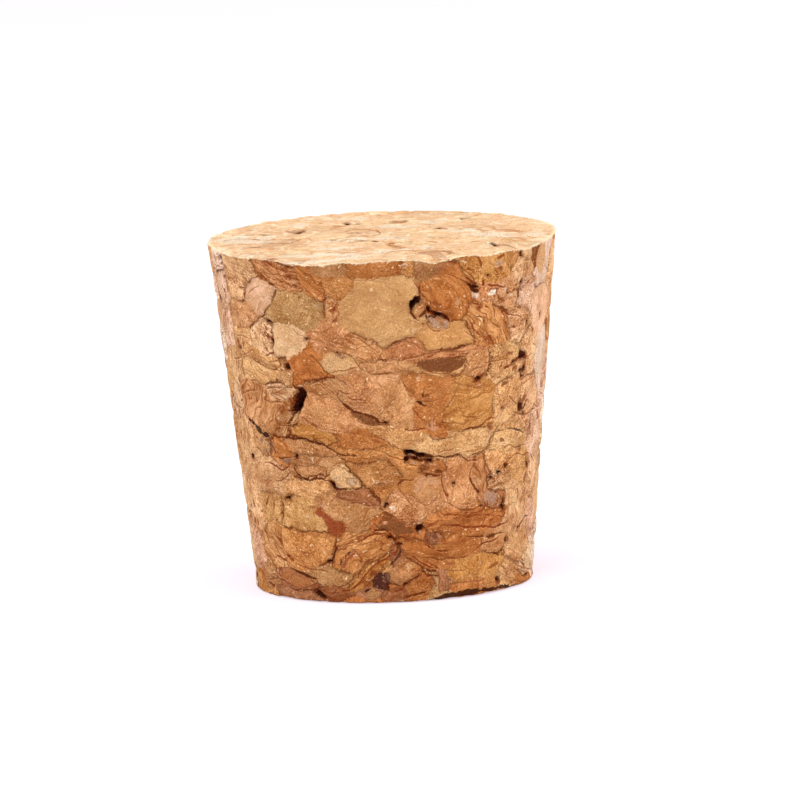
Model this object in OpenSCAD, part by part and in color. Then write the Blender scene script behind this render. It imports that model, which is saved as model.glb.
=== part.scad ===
// Tapered stopper of agglomerated cork, standing on its small end.
//
// Granules of cork bark are pressed into a block with a little binder, and the plug is ground from
// that block as one piece. So it is one solid: a turned taper, from which every other form is
// hollowed. Seams stand open between granules, angular voids are left where granules don't meet,
// long fissures follow the bark, pores cross it, and both rims have crumbled a little.
//
// Places on the flank are an azimuth in degrees, 0 at the front (-Y) and growing towards +X, and a
// height in percent of the plug. Places on an end are percent of that end's radius along X and Y.

/* [Plug] */
// Diameter of the large end
top_d = 19; // [14:0.5:30]
// Diameter of the small end
base_d = 15; // [10:0.5:26]
// Height from the small end to the large end
height = 19; // [14:0.5:32]
// Width of the broken edge round each end
edge_break = 0.12; // [0.05:0.01:0.3]

/* [Granules and seams] */
// Width of a typical granule
granule_w = 2.6; // [2.2:0.1:4]
// Thickness of a typical granule along the plug, which the press makes flatter than wide
granule_h = 1.9; // [1.6:0.1:3]
// Width of an open seam at its middle
seam_w = 0.2; // [0.1:0.02:0.3]
// Depth of an open seam
seam_depth = 0.22; // [0.1:0.02:0.4]
// Share of the seams that stand open
seam_share = 0.5; // [0.1:0.05:0.9]

/* [Voids, fissures and pores] */
// Depth of a void on the flank
void_depth = 0.8; // [0.4:0.1:1.6]
// Depth of a pit on an end
pit_depth = 0.5; // [0.3:0.1:1]
// Width of a fissure
fissure_w = 0.16; // [0.1:0.02:0.3]
// Depth of a fissure
fissure_depth = 0.45; // [0.2:0.05:0.9]
// Diameter of a pore
pore_d = 0.3; // [0.2:0.05:0.5]
// Depth of a pore
pore_depth = 0.5; // [0.3:0.1:1]
// Number of pores scattered over the flank
pore_count = 46; // [10:1:80]
// Number of voids scattered over the back of the flank
back_voids = 26; // [5:1:40]
// Number of pits scattered over the small end
base_pits = 9; // [3:1:14]

/* [Crumbled rims] */
// How far the largest crumb bites into a rim
rim_bite = 0.35; // [0.1:0.05:0.6]

/* [Bark pebble] */
// Length of the smooth piece of bark that lies in an open pocket
pebble_l = 1.4; // [1:0.1:2]
// Thickness of that piece
pebble_t = 0.8; // [0.5:0.1:1.2]

/* [Hidden] */

CORK = "#c8935c";

mid_r = (top_d + base_d) / 4;             // mean radius, where the flank is unrolled
flatness = granule_w / granule_h;         // how much wider than thick a granule is
girth = 2 * PI * mid_r / flatness;        // unrolled girth, in a scale where granules are round
front_reach = 82;                         // azimuth at which the listed granules stop
clear = 0.3;                              // how far a cutting tool starts outside the surface

function radius_at(z) = base_d / 2 + (top_d - base_d) / 2 * z / height;

// Repeatable value from 0 to 1 for item i of series k
function vary(i, k) = let (x = sin(i * 127.1 + k * 311.7) * 4375.85) x - floor(x);

// ---------------------------------------------------------------- granules

// Granules of the front: azimuth, height in percent, mean width in mm
FRONT_GRANULES = [
    [-70, 96, 2.4], [-54, 93, 2.6], [-37, 95, 3.0], [-21, 97, 1.9], [-4, 97, 2.4], [9, 96, 1.4],
    [15, 96, 1.7], [24, 98, 1.5], [37, 96, 2.6], [52, 95, 2.2], [67, 92, 2.6], [80, 96, 2.4],
    [-66, 87, 1.8], [-47, 88, 1.9], [-31, 85, 2.8], [-21, 91, 1.8], [-20, 82, 2.0], [-1, 85, 4.2],
    [23, 89, 2.8], [45, 87, 2.2], [61, 83, 1.8], [37, 79, 3.2], [18, 79, 1.8], [76, 83, 2.4],
    [-62, 80, 2.4], [-80, 84, 2.2], [-49, 74, 1.9], [-35, 75, 2.6], [-66, 73, 2.2], [-15, 75, 2.8],
    [4, 76, 2.6], [22, 75, 2.4], [49, 72, 2.2], [66, 74, 2.4], [-81, 70, 2.4], [-55, 65, 2.9],
    [-29, 68, 2.3], [-17, 70, 1.7], [-38, 66, 1.3], [20, 68, 1.9], [34, 66, 2.0], [49, 64, 2.3],
    [-8, 62, 3.2], [4, 67, 2.0], [14, 59, 2.8], [33, 57, 2.6], [62, 63, 2.2], [77, 63, 2.4],
    [-50, 55, 3.0], [-72, 57, 2.3], [-22, 59, 2.0], [-11, 54, 2.8], [2, 52, 2.2], [47, 54, 2.2],
    [63, 52, 2.2], [-30, 51, 2.3], [-17, 49, 2.4], [18, 49, 1.4], [29, 47, 2.4], [-33, 45, 2.2],
    [10, 46, 2.0], [-7, 44, 2.8], [-57, 44, 2.4], [-76, 46, 2.4], [49, 43, 2.3], [64, 42, 2.2],
    [78, 50, 2.3], [-60, 36, 2.6], [-31, 39, 2.2], [-17, 37, 1.8], [-45, 39, 2.0], [-3, 35, 2.4],
    [12, 34, 2.4], [28, 32, 2.4], [42, 35, 2.2], [57, 32, 2.2], [74, 34, 2.4], [-30, 30, 3.0],
    [-11, 30, 2.4], [6, 28, 2.2], [-52, 28, 2.4], [-74, 26, 2.4], [-18, 22, 2.4], [1, 22, 2.2],
    [22, 24, 2.4], [38, 23, 2.6], [54, 21, 2.2], [70, 20, 2.4], [-39, 18, 3.2], [-59, 16, 2.4],
    [-20, 14, 2.2], [-10, 11, 2.6], [14, 15, 2.2], [31, 15, 2.6], [48, 12, 2.2], [64, 9, 2.4],
    [-45, 6, 2.6], [-64, 6, 2.2], [-27, 5, 2.2], [3, 8, 2.2], [-6, 3, 1.8], [12, 4, 2.0],
    [26, 6, 2.4], [40, 4, 2.2], [56, 3, 2.0], [80, 11, 2.4], [-79, 11, 2.2], [-12, 2, 1.6]
];

// Granules of the rest of the flank: a brick pattern, each one shifted by up to shake
back_rows = round(height / granule_h);
back_cols = round(2 * PI * mid_r * (360 - 2 * front_reach) / 360 / granule_w);
shake = 0.34;
back_granules = [
    for (row = [0 : back_rows - 1], col = [0 : back_cols - 1])
        let (
            i = row * back_cols + col,
            across = (col + 0.5 + (row % 2 - 0.5) / 2 + shake * (2 * vary(i, 1) - 1)) / back_cols,
            up = (row + 0.5 + shake * (2 * vary(i, 2) - 1)) / back_rows
        )
        [front_reach + across * (360 - 2 * front_reach), 100 * up, granule_w * (0.8 + 0.4 * vary(i, 3))]
];

// Unrolled centre and weight of a granule: the weight lets a wide granule push its seams outwards
function flatten(g) = [g[0] / 360 * girth, g[1] / 100 * height, pow(g[2] / 3, 2)];
flank_cells = [for (g = concat(FRONT_GRANULES, back_granules)) flatten(g)];

// The same cells once more on either side of the unrolled strip, so that the pattern closes
reach = 2.2 * granule_w;
flank_wrap = concat(
    flank_cells,
    [for (c = flank_cells) if (c[0] > girth - front_reach / 360 * girth - 2 * reach) c - [girth, 0, 0]],
    [for (c = flank_cells) if (c[0] < 2 * reach - front_reach / 360 * girth) c + [girth, 0, 0]]
);

// Granules of an end of radius r: a centre and rings round it, no wider apart than a granule
function end_cells(r, series) = [
    for (ring = [0 : floor(r / granule_w)])
        let (rr = ring * granule_w, count = max(1, round(2 * PI * rr / granule_w)))
        for (k = [0 : count - 1])
            let (
                i = 20 * ring + k,
                a = 360 * (k + shake * (2 * vary(i, series) - 1)) / count,
                ra = rr + shake * granule_w * (2 * vary(i, series + 1) - 1)
            )
            [ra * cos(a), ra * sin(a), pow(granule_w * (0.8 + 0.4 * vary(i, series + 2)) / 3, 2)]
];

// ---------------------------------------------------------------- seams

function xy(v) = [v[0], v[1]];

// The part of a polygon where p * n <= limit
function clip(poly, n, limit) = [
    for (i = [0 : len(poly) - 1])
        let (
            a = poly[i],
            b = poly[(i + 1) % len(poly)],
            over_a = a * n - limit,
            over_b = b * n - limit
        )
        each concat(
            over_a <= 0 ? [a] : [],
            over_a * over_b < 0 ? [a + (b - a) * over_a / (over_a - over_b)] : []
        )
];

// A granule's outline: what is left of poly after its border with each neighbour is cut
function outline(c, others, poly, i = 0) =
    i == len(others) || len(poly) < 3 ? poly
    : let (n = xy(others[i]) - xy(c), gap = xy(others[i]) * xy(others[i]) - xy(c) * xy(c))
      outline(c, others, clip(poly, n, (gap - others[i][2] + c[2]) / 2), i + 1);

function near(c, cells) = [for (d = cells) if (d != c && norm(xy(d) - xy(c)) < reach) d];
function square_round(c) = [for (s = [[-1, -1], [1, -1], [1, 1], [-1, 1]]) xy(c) + s * reach / 2];

// Seams as pairs of points. Two granules share each border and run along it in opposite
// directions, so it is taken only from the one that runs towards +X.
function seams(cells, wrap) = [
    for (c = cells)
        let (poly = outline(c, near(c, wrap), square_round(c)))
        if (len(poly) > 2)
            for (i = [0 : len(poly) - 1])
                let (a = poly[i], b = poly[(i + 1) % len(poly)])
                if (b[0] - a[0] > 0.01) [a, b]
];

min_seam = 0.9;       // shorter seams stay closed
seam_ends = 0.3;      // how much of a seam stays closed, both ends together

// Cuts the open seams: each is a slot with pointed ends, widest in the middle
module slot(length, width) {
    polygon([[-length / 2, 0], [0, -width / 2], [length / 2, 0], [0, width / 2]]);
}

module flank_seams() {
    all = seams(flank_cells, flank_wrap);
    for (i = [0 : len(all) - 1]) {
        mid = (all[i][0] + all[i][1]) / 2;
        z = mid[1];
        run = [(all[i][1][0] - all[i][0][0]) * flatness * radius_at(z) / mid_r, all[i][1][1] - all[i][0][1]];
        if (norm(run) > min_seam && z > 2 * edge_break && z < height - 2 * edge_break && vary(i, 7) < seam_share)
            on_flank(mid[0] / girth * 360, z)
                rotate(atan2(run[1], run[0]))
                    translate([0, 0, -seam_depth])
                        linear_extrude(seam_depth + clear)
                            slot(norm(run) - seam_ends, seam_w * (0.6 + 0.6 * vary(i, 8)));
    }
}

module end_seams(r, series) {
    cells = end_cells(r, series);
    all = seams(cells, cells);
    for (i = [0 : len(all) - 1]) {
        mid = (all[i][0] + all[i][1]) / 2;
        run = all[i][1] - all[i][0];
        if (norm(run) > min_seam && norm(mid) + norm(run) / 2 < r - edge_break && vary(i, 7) < seam_share)
            translate([mid[0], mid[1], -seam_depth])
                rotate(atan2(run[1], run[0]))
                    linear_extrude(seam_depth + clear)
                        slot(norm(run) - seam_ends, seam_w * (0.6 + 0.6 * vary(i, 8)));
    }
}

// Puts its children on the flank, with their Z pointing outwards and their Y up the plug
module on_flank(azimuth, z) {
    rotate(azimuth) translate([0, -radius_at(z), z]) rotate([90, 0, 0]) children();
}

// ---------------------------------------------------------------- voids, fissures and pores

// Voids of the front: azimuth, height in percent, width, tallness, turn, corners
FRONT_VOIDS = [
    [10.4, 85.6, 0.85, 1.3, 15, 5], [29.8, 90.3, 1.2, 0.35, -40, 6], [-44.1, 80.7, 0.7, 0.28, -15, 6],
    [-44.6, 76.6, 0.28, 0.8, 25, 5], [-37.3, 68.4, 0.4, 0.4, 0, 6], [-33.8, 58.9, 0.45, 1.35, -33, 6],
    [-64.7, 40.6, 0.5, 0.3, 10, 5], [-37.4, 42.4, 0.45, 0.28, 15, 5], [13.9, 58.6, 0.9, 0.5, -10, 7],
    [-8.4, 55.6, 1.9, 0.4, -25, 6], [52.5, 66.6, 1.6, 0.35, 18, 6], [55.3, 62.6, 0.3, 0.5, 0, 5],
    [34.5, 63.3, 0.9, 0.28, 24, 6], [46.9, 60.3, 0.35, 0.4, 30, 5], [58.2, 53.2, 0.9, 0.6, 0, 4],
    [10.6, 41.9, 1.6, 0.5, -10, 7], [49, 36.6, 0.5, 0.35, 20, 5], [45.4, 34.6, 0.45, 0.4, 0, 5],
    [40.6, 33.6, 0.35, 0.3, -20, 5], [63.8, 35.9, 0.7, 0.45, -35, 5], [48.9, 25.3, 0.58, 0.7, 10, 4],
    [10.2, 21.4, 0.6, 0.6, 30, 5], [-1.9, 28.8, 0.45, 0.28, 40, 5], [-1.1, 19.4, 0.45, 0.3, -35, 5],
    [51.4, 14.7, 0.28, 0.28, 0, 6], [46.7, 4.2, 0.3, 0.3, 0, 5], [-44.1, 30.2, 0.75, 0.35, 20, 6],
    [-27.6, 11.6, 0.4, 0.3, 25, 5], [-66, 15.7, 0.3, 0.35, 0, 5], [-5.6, 7.2, 0.7, 1.2, -20, 7],
    [52.7, 96.8, 0.3, 0.4, 0, 5], [-68.7, 97, 0.6, 0.35, -20, 6], [53.8, 87.7, 0.35, 0.35, 0, 5],
    [52, 84.8, 0.3, 0.35, 20, 5], [-79.2, 89, 0.35, 0.5, 10, 5], [-73.7, 84.4, 0.35, 0.5, 15, 5]
];

// The rest of the voids: they are scattered over the back by the golden angle, which never repeats
golden_angle = 137.508;
function wrap(value, low, span) = low + value - span * floor(value / span);
scattered_voids = [
    for (i = [1 : back_voids])
        [
            wrap(i * golden_angle, front_reach, 360 - 2 * front_reach), 4 + 92 * vary(i, 40),
            0.3 + 0.9 * pow(vary(i, 41), 2), 0.3 + 0.5 * pow(vary(i, 42), 2), 90 * vary(i, 43) - 45, 4 + floor(3 * vary(i, 44))
        ]
];

// Pits of the large end: x and y in percent of its radius, width, tallness, turn, corners
TOP_PITS = [
    [-48, 27, 0.7, 0.8, 10, 6], [-17, 56, 0.8, 1.1, 70, 6], [-7, -23, 0.7, 0.5, 0, 5], [-20, -4, 0.35, 0.5, 0, 5],
    [-68, 17, 0.6, 0.5, 0, 5], [48, 59, 0.5, 0.6, 20, 5], [11, 55, 0.7, 0.7, 0, 6], [-72, 34, 0.5, 0.5, 0, 5],
    [55, 10, 0.4, 0.5, 30, 5], [-34, -52, 0.4, 0.4, 0, 6], [27, -38, 0.5, 0.35, 15, 5]
];

// Fissures: each follows its points, given as azimuth and height in percent
FISSURES = [
    [[-43, 48], [-36, 47], [-28, 47], [-19, 43], [-13, 44]],
    [[17, 41], [28, 41], [37, 42]],
    [[-62, 52], [-56, 48], [-50, 45]],
    [[-37, 66], [-36, 64], [-34, 62]],
    [[12, 67], [18, 66], [26, 64]],
    [[-17, 60], [-12, 57], [-1, 53]],
    [[5, 65], [8, 61], [14, 52]],
    [[-52, 5], [-44, 4], [-37, 3]],
    [[17, 23], [26, 21], [36, 19], [49, 18]],
    [[-23, 4], [-15, 6], [-8, 10], [-1, 14]],
    [[-22, 17], [-17, 19], [-4, 21]],
    [[59, 17], [68, 20]],
    [[23, 47], [31, 48], [38, 51]],
    [[-38, 36], [-34, 35], [-23, 35]],
    [[110, 62], [118, 60], [129, 61]], [[150, 30], [158, 33], [166, 33]], [[196, 78], [205, 75], [213, 75]],
    [[222, 22], [231, 25], [241, 24]], [[176, 52], [183, 56], [192, 57]], [[252, 66], [259, 62], [264, 57]]
];

// An irregular flat shape with a given number of corners
module shard(width, tall, corners, series) {
    polygon([
        for (k = [0 : corners - 1])
            let (a = 360 * (k + 0.5 * vary(k, series)) / corners, r = 0.85 + 0.15 * vary(k, series + 1))
            [width / 2 * r * cos(a), tall / 2 * r * sin(a)]
    ]);
}

// A hollow with a narrower floor, cut down from the plane it is placed on
module hollow(void, depth, series) {
    rotate(void[4]) {
        translate([0, 0, -depth / 2])
            linear_extrude(depth / 2 + clear) shard(void[2], void[3], void[5], series);
        translate([0, 0, -depth])
            linear_extrude(depth) shard(0.65 * void[2], 0.65 * void[3], void[5], series);
    }
}

module flank_voids(voids, series) {
    for (i = [0 : len(voids) - 1])
        on_flank(voids[i][0], voids[i][1] / 100 * height)
            hollow(voids[i], void_depth, series + i);
}

module end_pits(pits, r, series) {
    for (i = [0 : len(pits) - 1])
        translate([pits[i][0] / 100 * r, pits[i][1] / 100 * r])
            hollow(pits[i], pit_depth, series + i);
}

scattered_pits = [
    for (i = [1 : base_pits])
        let (a = i * golden_angle, share = 85 * sqrt(i / (base_pits + 1)))
        [share * cos(a), share * sin(a), 0.3 + 0.5 * vary(i, 50), 0.3 + 0.4 * vary(i, 51), 0, 5]
];

module fissures() {
    for (path = FISSURES, i = [0 : len(path) - 2]) {
        a = path[i];
        b = path[i + 1];
        z = (a[1] + b[1]) / 200 * height;
        run = [(b[0] - a[0]) * PI / 180 * radius_at(z), (b[1] - a[1]) / 100 * height];
        on_flank((a[0] + b[0]) / 2, z)
            rotate(atan2(run[1], run[0]))
                translate([-(norm(run) + fissure_w) / 2, -fissure_w / 2, -fissure_depth])
                    cube([norm(run) + fissure_w, fissure_w, fissure_depth + clear]);
    }
}

module pores() {
    for (i = [1 : pore_count])
        on_flank(i * golden_angle, height * (0.05 + 0.9 * vary(i, 60)))
            translate([0, 0, -pore_depth])
                cylinder(d = pore_d * (0.7 + 0.5 * vary(i, 61)), h = pore_depth + clear, $fn = 24);
}

// ---------------------------------------------------------------- crumbled rims

// Crumbs lost from a rim: azimuth, span in degrees, bite as a share of rim_bite
TOP_CRUMBS = [[27, 9, 0.6], [52, 9, 0.5], [-4, 26, 0.45], [-66, 14, 0.4], [104, 20, 0.6], [151, 12, 0.5], [214, 24, 0.5], [265, 10, 0.7]];
BASE_CRUMBS = [[36, 50, 1], [-78, 24, 0.8], [-34, 14, 0.5], [118, 28, 0.6], [187, 18, 0.8], [241, 30, 0.6]];

// A crumb is a shallow scoop, a ball that dips into the rim by its bite. facing is 1 on the large
// end and -1 on the small one.
module crumbs(list, r, facing) {
    for (crumb = list) {
        bite = crumb[2] * rim_bite;
        half = r * sin(crumb[1] / 2);
        ball = (half * half + bite * bite) / (2 * bite);
        rotate(crumb[0])
            translate([0, -r, 0])
                rotate([-45 * facing, 0, 0])
                    translate([0, bite - ball, 0])
                        sphere(ball, $fn = 64);
    }
}

// ---------------------------------------------------------------- solid

module blank() {
    rotate_extrude($fn = 180)
        polygon([
            [0, 0], [base_d / 2 - edge_break, 0], [radius_at(edge_break), edge_break],
            [radius_at(height - edge_break), height - edge_break], [top_d / 2 - edge_break, height], [0, height]
        ]);
}

// The pebble of smooth bark lies in a pocket that is open to its upper left
PEBBLE = [18.4, 80.8];        // azimuth and height in percent
pebble_turn = -8;
pocket_gap = 0.3;             // how much the pocket is longer and taller than the pebble
pocket_depth = 0.7 * pebble_t;

module at_pebble() {
    on_flank(PEBBLE[0], PEBBLE[1] / 100 * height) rotate(pebble_turn) children();
}

module pocket() {
    at_pebble()
        translate([-pocket_gap / 2, pocket_gap / 2, -pocket_depth])
            linear_extrude(pocket_depth + clear)
                shard(pebble_l + pocket_gap, pebble_t + 1.5 * pocket_gap, 9, 70);
}

// An ellipsoid, turned from half an ellipse about its own long axis, just below the flank
module pebble() {
    steps = 12;
    at_pebble()
        translate([0, 0, -pebble_t / 2 - 0.1])
            rotate([0, 90, 0])
                rotate_extrude($fn = 36)
                    polygon([for (k = [0 : steps]) let (a = 180 * k / steps - 90) [pebble_t / 2 * cos(a), pebble_l / 2 * sin(a)]]);
}

module stopper() {
    color(CORK) {
        difference() {
            blank();
            flank_seams();
            fissures();
            flank_voids(FRONT_VOIDS, 100);
            flank_voids(scattered_voids, 200);
            pores();
            pocket();
            crumbs(BASE_CRUMBS, base_d / 2, -1);
            translate([0, 0, height]) {
                end_seams(top_d / 2, 20);
                end_pits(TOP_PITS, top_d / 2, 300);
                crumbs(TOP_CRUMBS, top_d / 2, 1);
            }
            rotate([180, 0, 0]) {
                end_seams(base_d / 2, 30);
                end_pits(scattered_pits, base_d / 2, 400);
            }
        }
        pebble();
    }
}

stopper();
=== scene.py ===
import logging
import math
import random
from collections.abc import Callable
from dataclasses import dataclass
from enum import Enum
from functools import partial
from typing import Any

import bmesh
import bpy
import numpy as np
from mathutils import Matrix, Vector, noise


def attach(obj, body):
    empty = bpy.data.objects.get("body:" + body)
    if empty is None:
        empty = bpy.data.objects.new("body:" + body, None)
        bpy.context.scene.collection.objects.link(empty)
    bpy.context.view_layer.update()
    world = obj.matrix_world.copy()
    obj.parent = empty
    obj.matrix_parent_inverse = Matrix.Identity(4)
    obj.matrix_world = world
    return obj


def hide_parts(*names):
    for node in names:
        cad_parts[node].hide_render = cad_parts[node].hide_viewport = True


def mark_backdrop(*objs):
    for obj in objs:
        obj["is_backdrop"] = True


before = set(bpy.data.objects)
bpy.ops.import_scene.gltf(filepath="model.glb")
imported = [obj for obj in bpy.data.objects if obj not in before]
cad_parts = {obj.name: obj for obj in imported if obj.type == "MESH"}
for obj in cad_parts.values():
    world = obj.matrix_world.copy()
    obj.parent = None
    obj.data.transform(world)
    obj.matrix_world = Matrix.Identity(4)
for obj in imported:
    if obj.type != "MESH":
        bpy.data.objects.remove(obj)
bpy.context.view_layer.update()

log = logging.getLogger("cork_stopper")

MM = 0.001
RIPPLE_SEED = 8
OUTSIDE = -9.0  # millimetres: well outside every mark
FADE = 0.08


def linear(code: str) -> tuple[float, float, float, float]:
    """Turns an sRGB hex value into linear RGBA.

    Args:
        code: The colour as "#rrggbb".

    Returns:
        Red, green, blue and alpha, linear.
    """
    channels = (int(code[i : i + 2], 16) / 255 for i in (1, 3, 5))
    red, green, blue = (c / 12.92 if c <= 0.04045 else ((c + 0.055) / 1.055) ** 2.4 for c in channels)
    return (red, green, blue, 1.0)


class Cork(Enum):
    """Colours of cork: the granules, their growth lines and what sits in their gaps, and the painted highlights,
    sheen and shade laid over them.
    """

    CREAM = "#eab985"
    STRAW = "#daa066"
    SAND = "#dea570"
    TAN = "#d4975b"
    HONEY = "#cc874b"
    OCHRE = "#ce8b49"
    AMBER = "#c67b41"
    ORANGE = "#c0733a"
    BRICK = "#bd733b"
    RUST = "#a05a2c"
    BLUSH = "#d2905b"
    ROSE = "#e6b088"
    # painted sheen: a granule's colour at the grazing sides, lightened as if the light glanced off it
    EDGE_SHEEN = "#f3cdaa"
    SHELL = "#dba574"
    CLAY = "#c67f4e"
    MAUVE = "#b27148"
    OLIVE = "#c6925a"
    DRAB = "#c18652"
    BARK = "#a26038"
    WALNUT = "#87502d"
    SIENNA = "#9b4522"
    UMBER = "#8a4b24"
    PEBBLE = "#bf957a"
    ASH = "#94705a"
    # white flecks of torn cork, and painted highlights on the sawn top and on lit crumbs
    CHALK_AND_HIGHLIGHT = "#f2dfc6"
    BLOOD = "#853312"
    PLUM = "#5c3024"
    BINDER = "#7b340f"
    RIND = "#64260b"
    # dark bark in voids and cracks, with painted shade
    PITCH_AND_SHADE = "#36110a"
    # painted glint: torn cut cells that catch the light
    PAINTED_GLINT = "#fbd9a8"
    # the sawn ends' own lighter colour, with a painted sheen of the brightly lit top
    SAWN_AND_SHEEN = "#f9d5aa"
    # white saw dust, and painted highlights on the sawn top
    DUST_AND_GLINT = "#fff0d2"
    # painted highlight on the torn rim
    RIM_HIGHLIGHT = "#ffe9c4"


class Habit(Enum):
    """How a granule's cut face looks: strength of growth layers, lenticels and sandy cells."""

    SMOOTH = (0.15, 0.05, 0.55)
    SANDY = (0.30, 0.25, 1.00)
    LAYERED = (0.65, 0.25, 0.80)
    STREAKED = (1.00, 0.70, 1.00)
    RINGED = (1.00, 0.30, 0.75)
    SPECKLED = (0.35, 1.00, 1.30)


class Face(Enum):
    """Where on the stopper something lies."""

    FLANK = "flank"
    TOP = "top"
    BASE = "base"


@dataclass(frozen=True)
class Taper:
    """The stopper's plain tapered form, in millimetres."""

    top_d: float = 19.0
    base_d: float = 15.0
    height: float = 19.0

    def radius(self, z: float) -> float:
        """Radius of the flank at a height in millimetres."""
        return (self.base_d + (self.top_d - self.base_d) * z / self.height) / 2

    def spot(self, face: Face, across: float, up: float) -> tuple[np.ndarray, np.ndarray]:
        """Finds a place on the surface and the directions there.

        Args:
            face: The face that the place is on.
            across: Degrees right of the front on the flank, or x in millimetres on an end.
            up: Percent of the height on the flank, or y in millimetres on an end.

        Returns:
            The point, and three rows: along the face, up the face and out of it.
        """
        if face is Face.FLANK:
            turn, z = math.radians(across), self.height * up / 100
            radius, lean = self.radius(z), (self.top_d - self.base_d) / 2 / self.height
            side = np.array((math.cos(turn), math.sin(turn), 0.0))
            out = np.array((math.sin(turn), -math.cos(turn), 0.0))
            rise = lean * out + np.array((0.0, 0.0, 1.0))
            rise /= np.linalg.norm(rise)
            return radius * out + np.array((0.0, 0.0, z)), np.stack((side, rise, np.cross(side, rise)))
        if face is Face.TOP:
            return np.array((across, up, self.height)), np.eye(3)
        return np.array((across, up, 0.0)), np.diag((1.0, -1.0, -1.0))


TAPER = Taper()


@dataclass(frozen=True)
class Granule:
    """One pressed granule that shows in the surface.

    Across and up are degrees right of the front and percent of the height on the flank, x and y in
    millimetres on an end. The half sizes are in millimetres along the surface. Tilt turns the granule
    and grain its growth layers, in degrees anticlockwise as seen from outside.
    """

    across: float
    up: float
    half_width: float
    half_height: float
    tilt: float
    cork: Cork
    habit: Habit = Habit.SANDY
    grain: float = 0.0
    face: Face = Face.FLANK

    def place(self) -> tuple[np.ndarray, np.ndarray, np.ndarray, np.ndarray]:
        """Gives the granule's centre, its own directions, its radii and its layers' directions."""
        centre, axes = TAPER.spot(self.face, self.across, self.up)
        depth = 0.6 * (self.half_width + self.half_height)
        radii = np.array((self.half_width, self.half_height, depth))
        return centre, turned(axes, self.tilt), radii, turned(axes, self.grain)[[1, 0, 2]]


def turned(axes: np.ndarray, degrees: float) -> np.ndarray:
    """Turns two surface directions about the third, anticlockwise from outside."""
    cos, sin = math.cos(math.radians(degrees)), math.sin(math.radians(degrees))
    return np.stack((cos * axes[0] + sin * axes[1], cos * axes[1] - sin * axes[0], axes[2]))


def granules(*rows: tuple) -> tuple[Granule, ...]:
    """Packs granules, one a row."""
    return tuple(Granule(*row) for row in rows)


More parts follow.
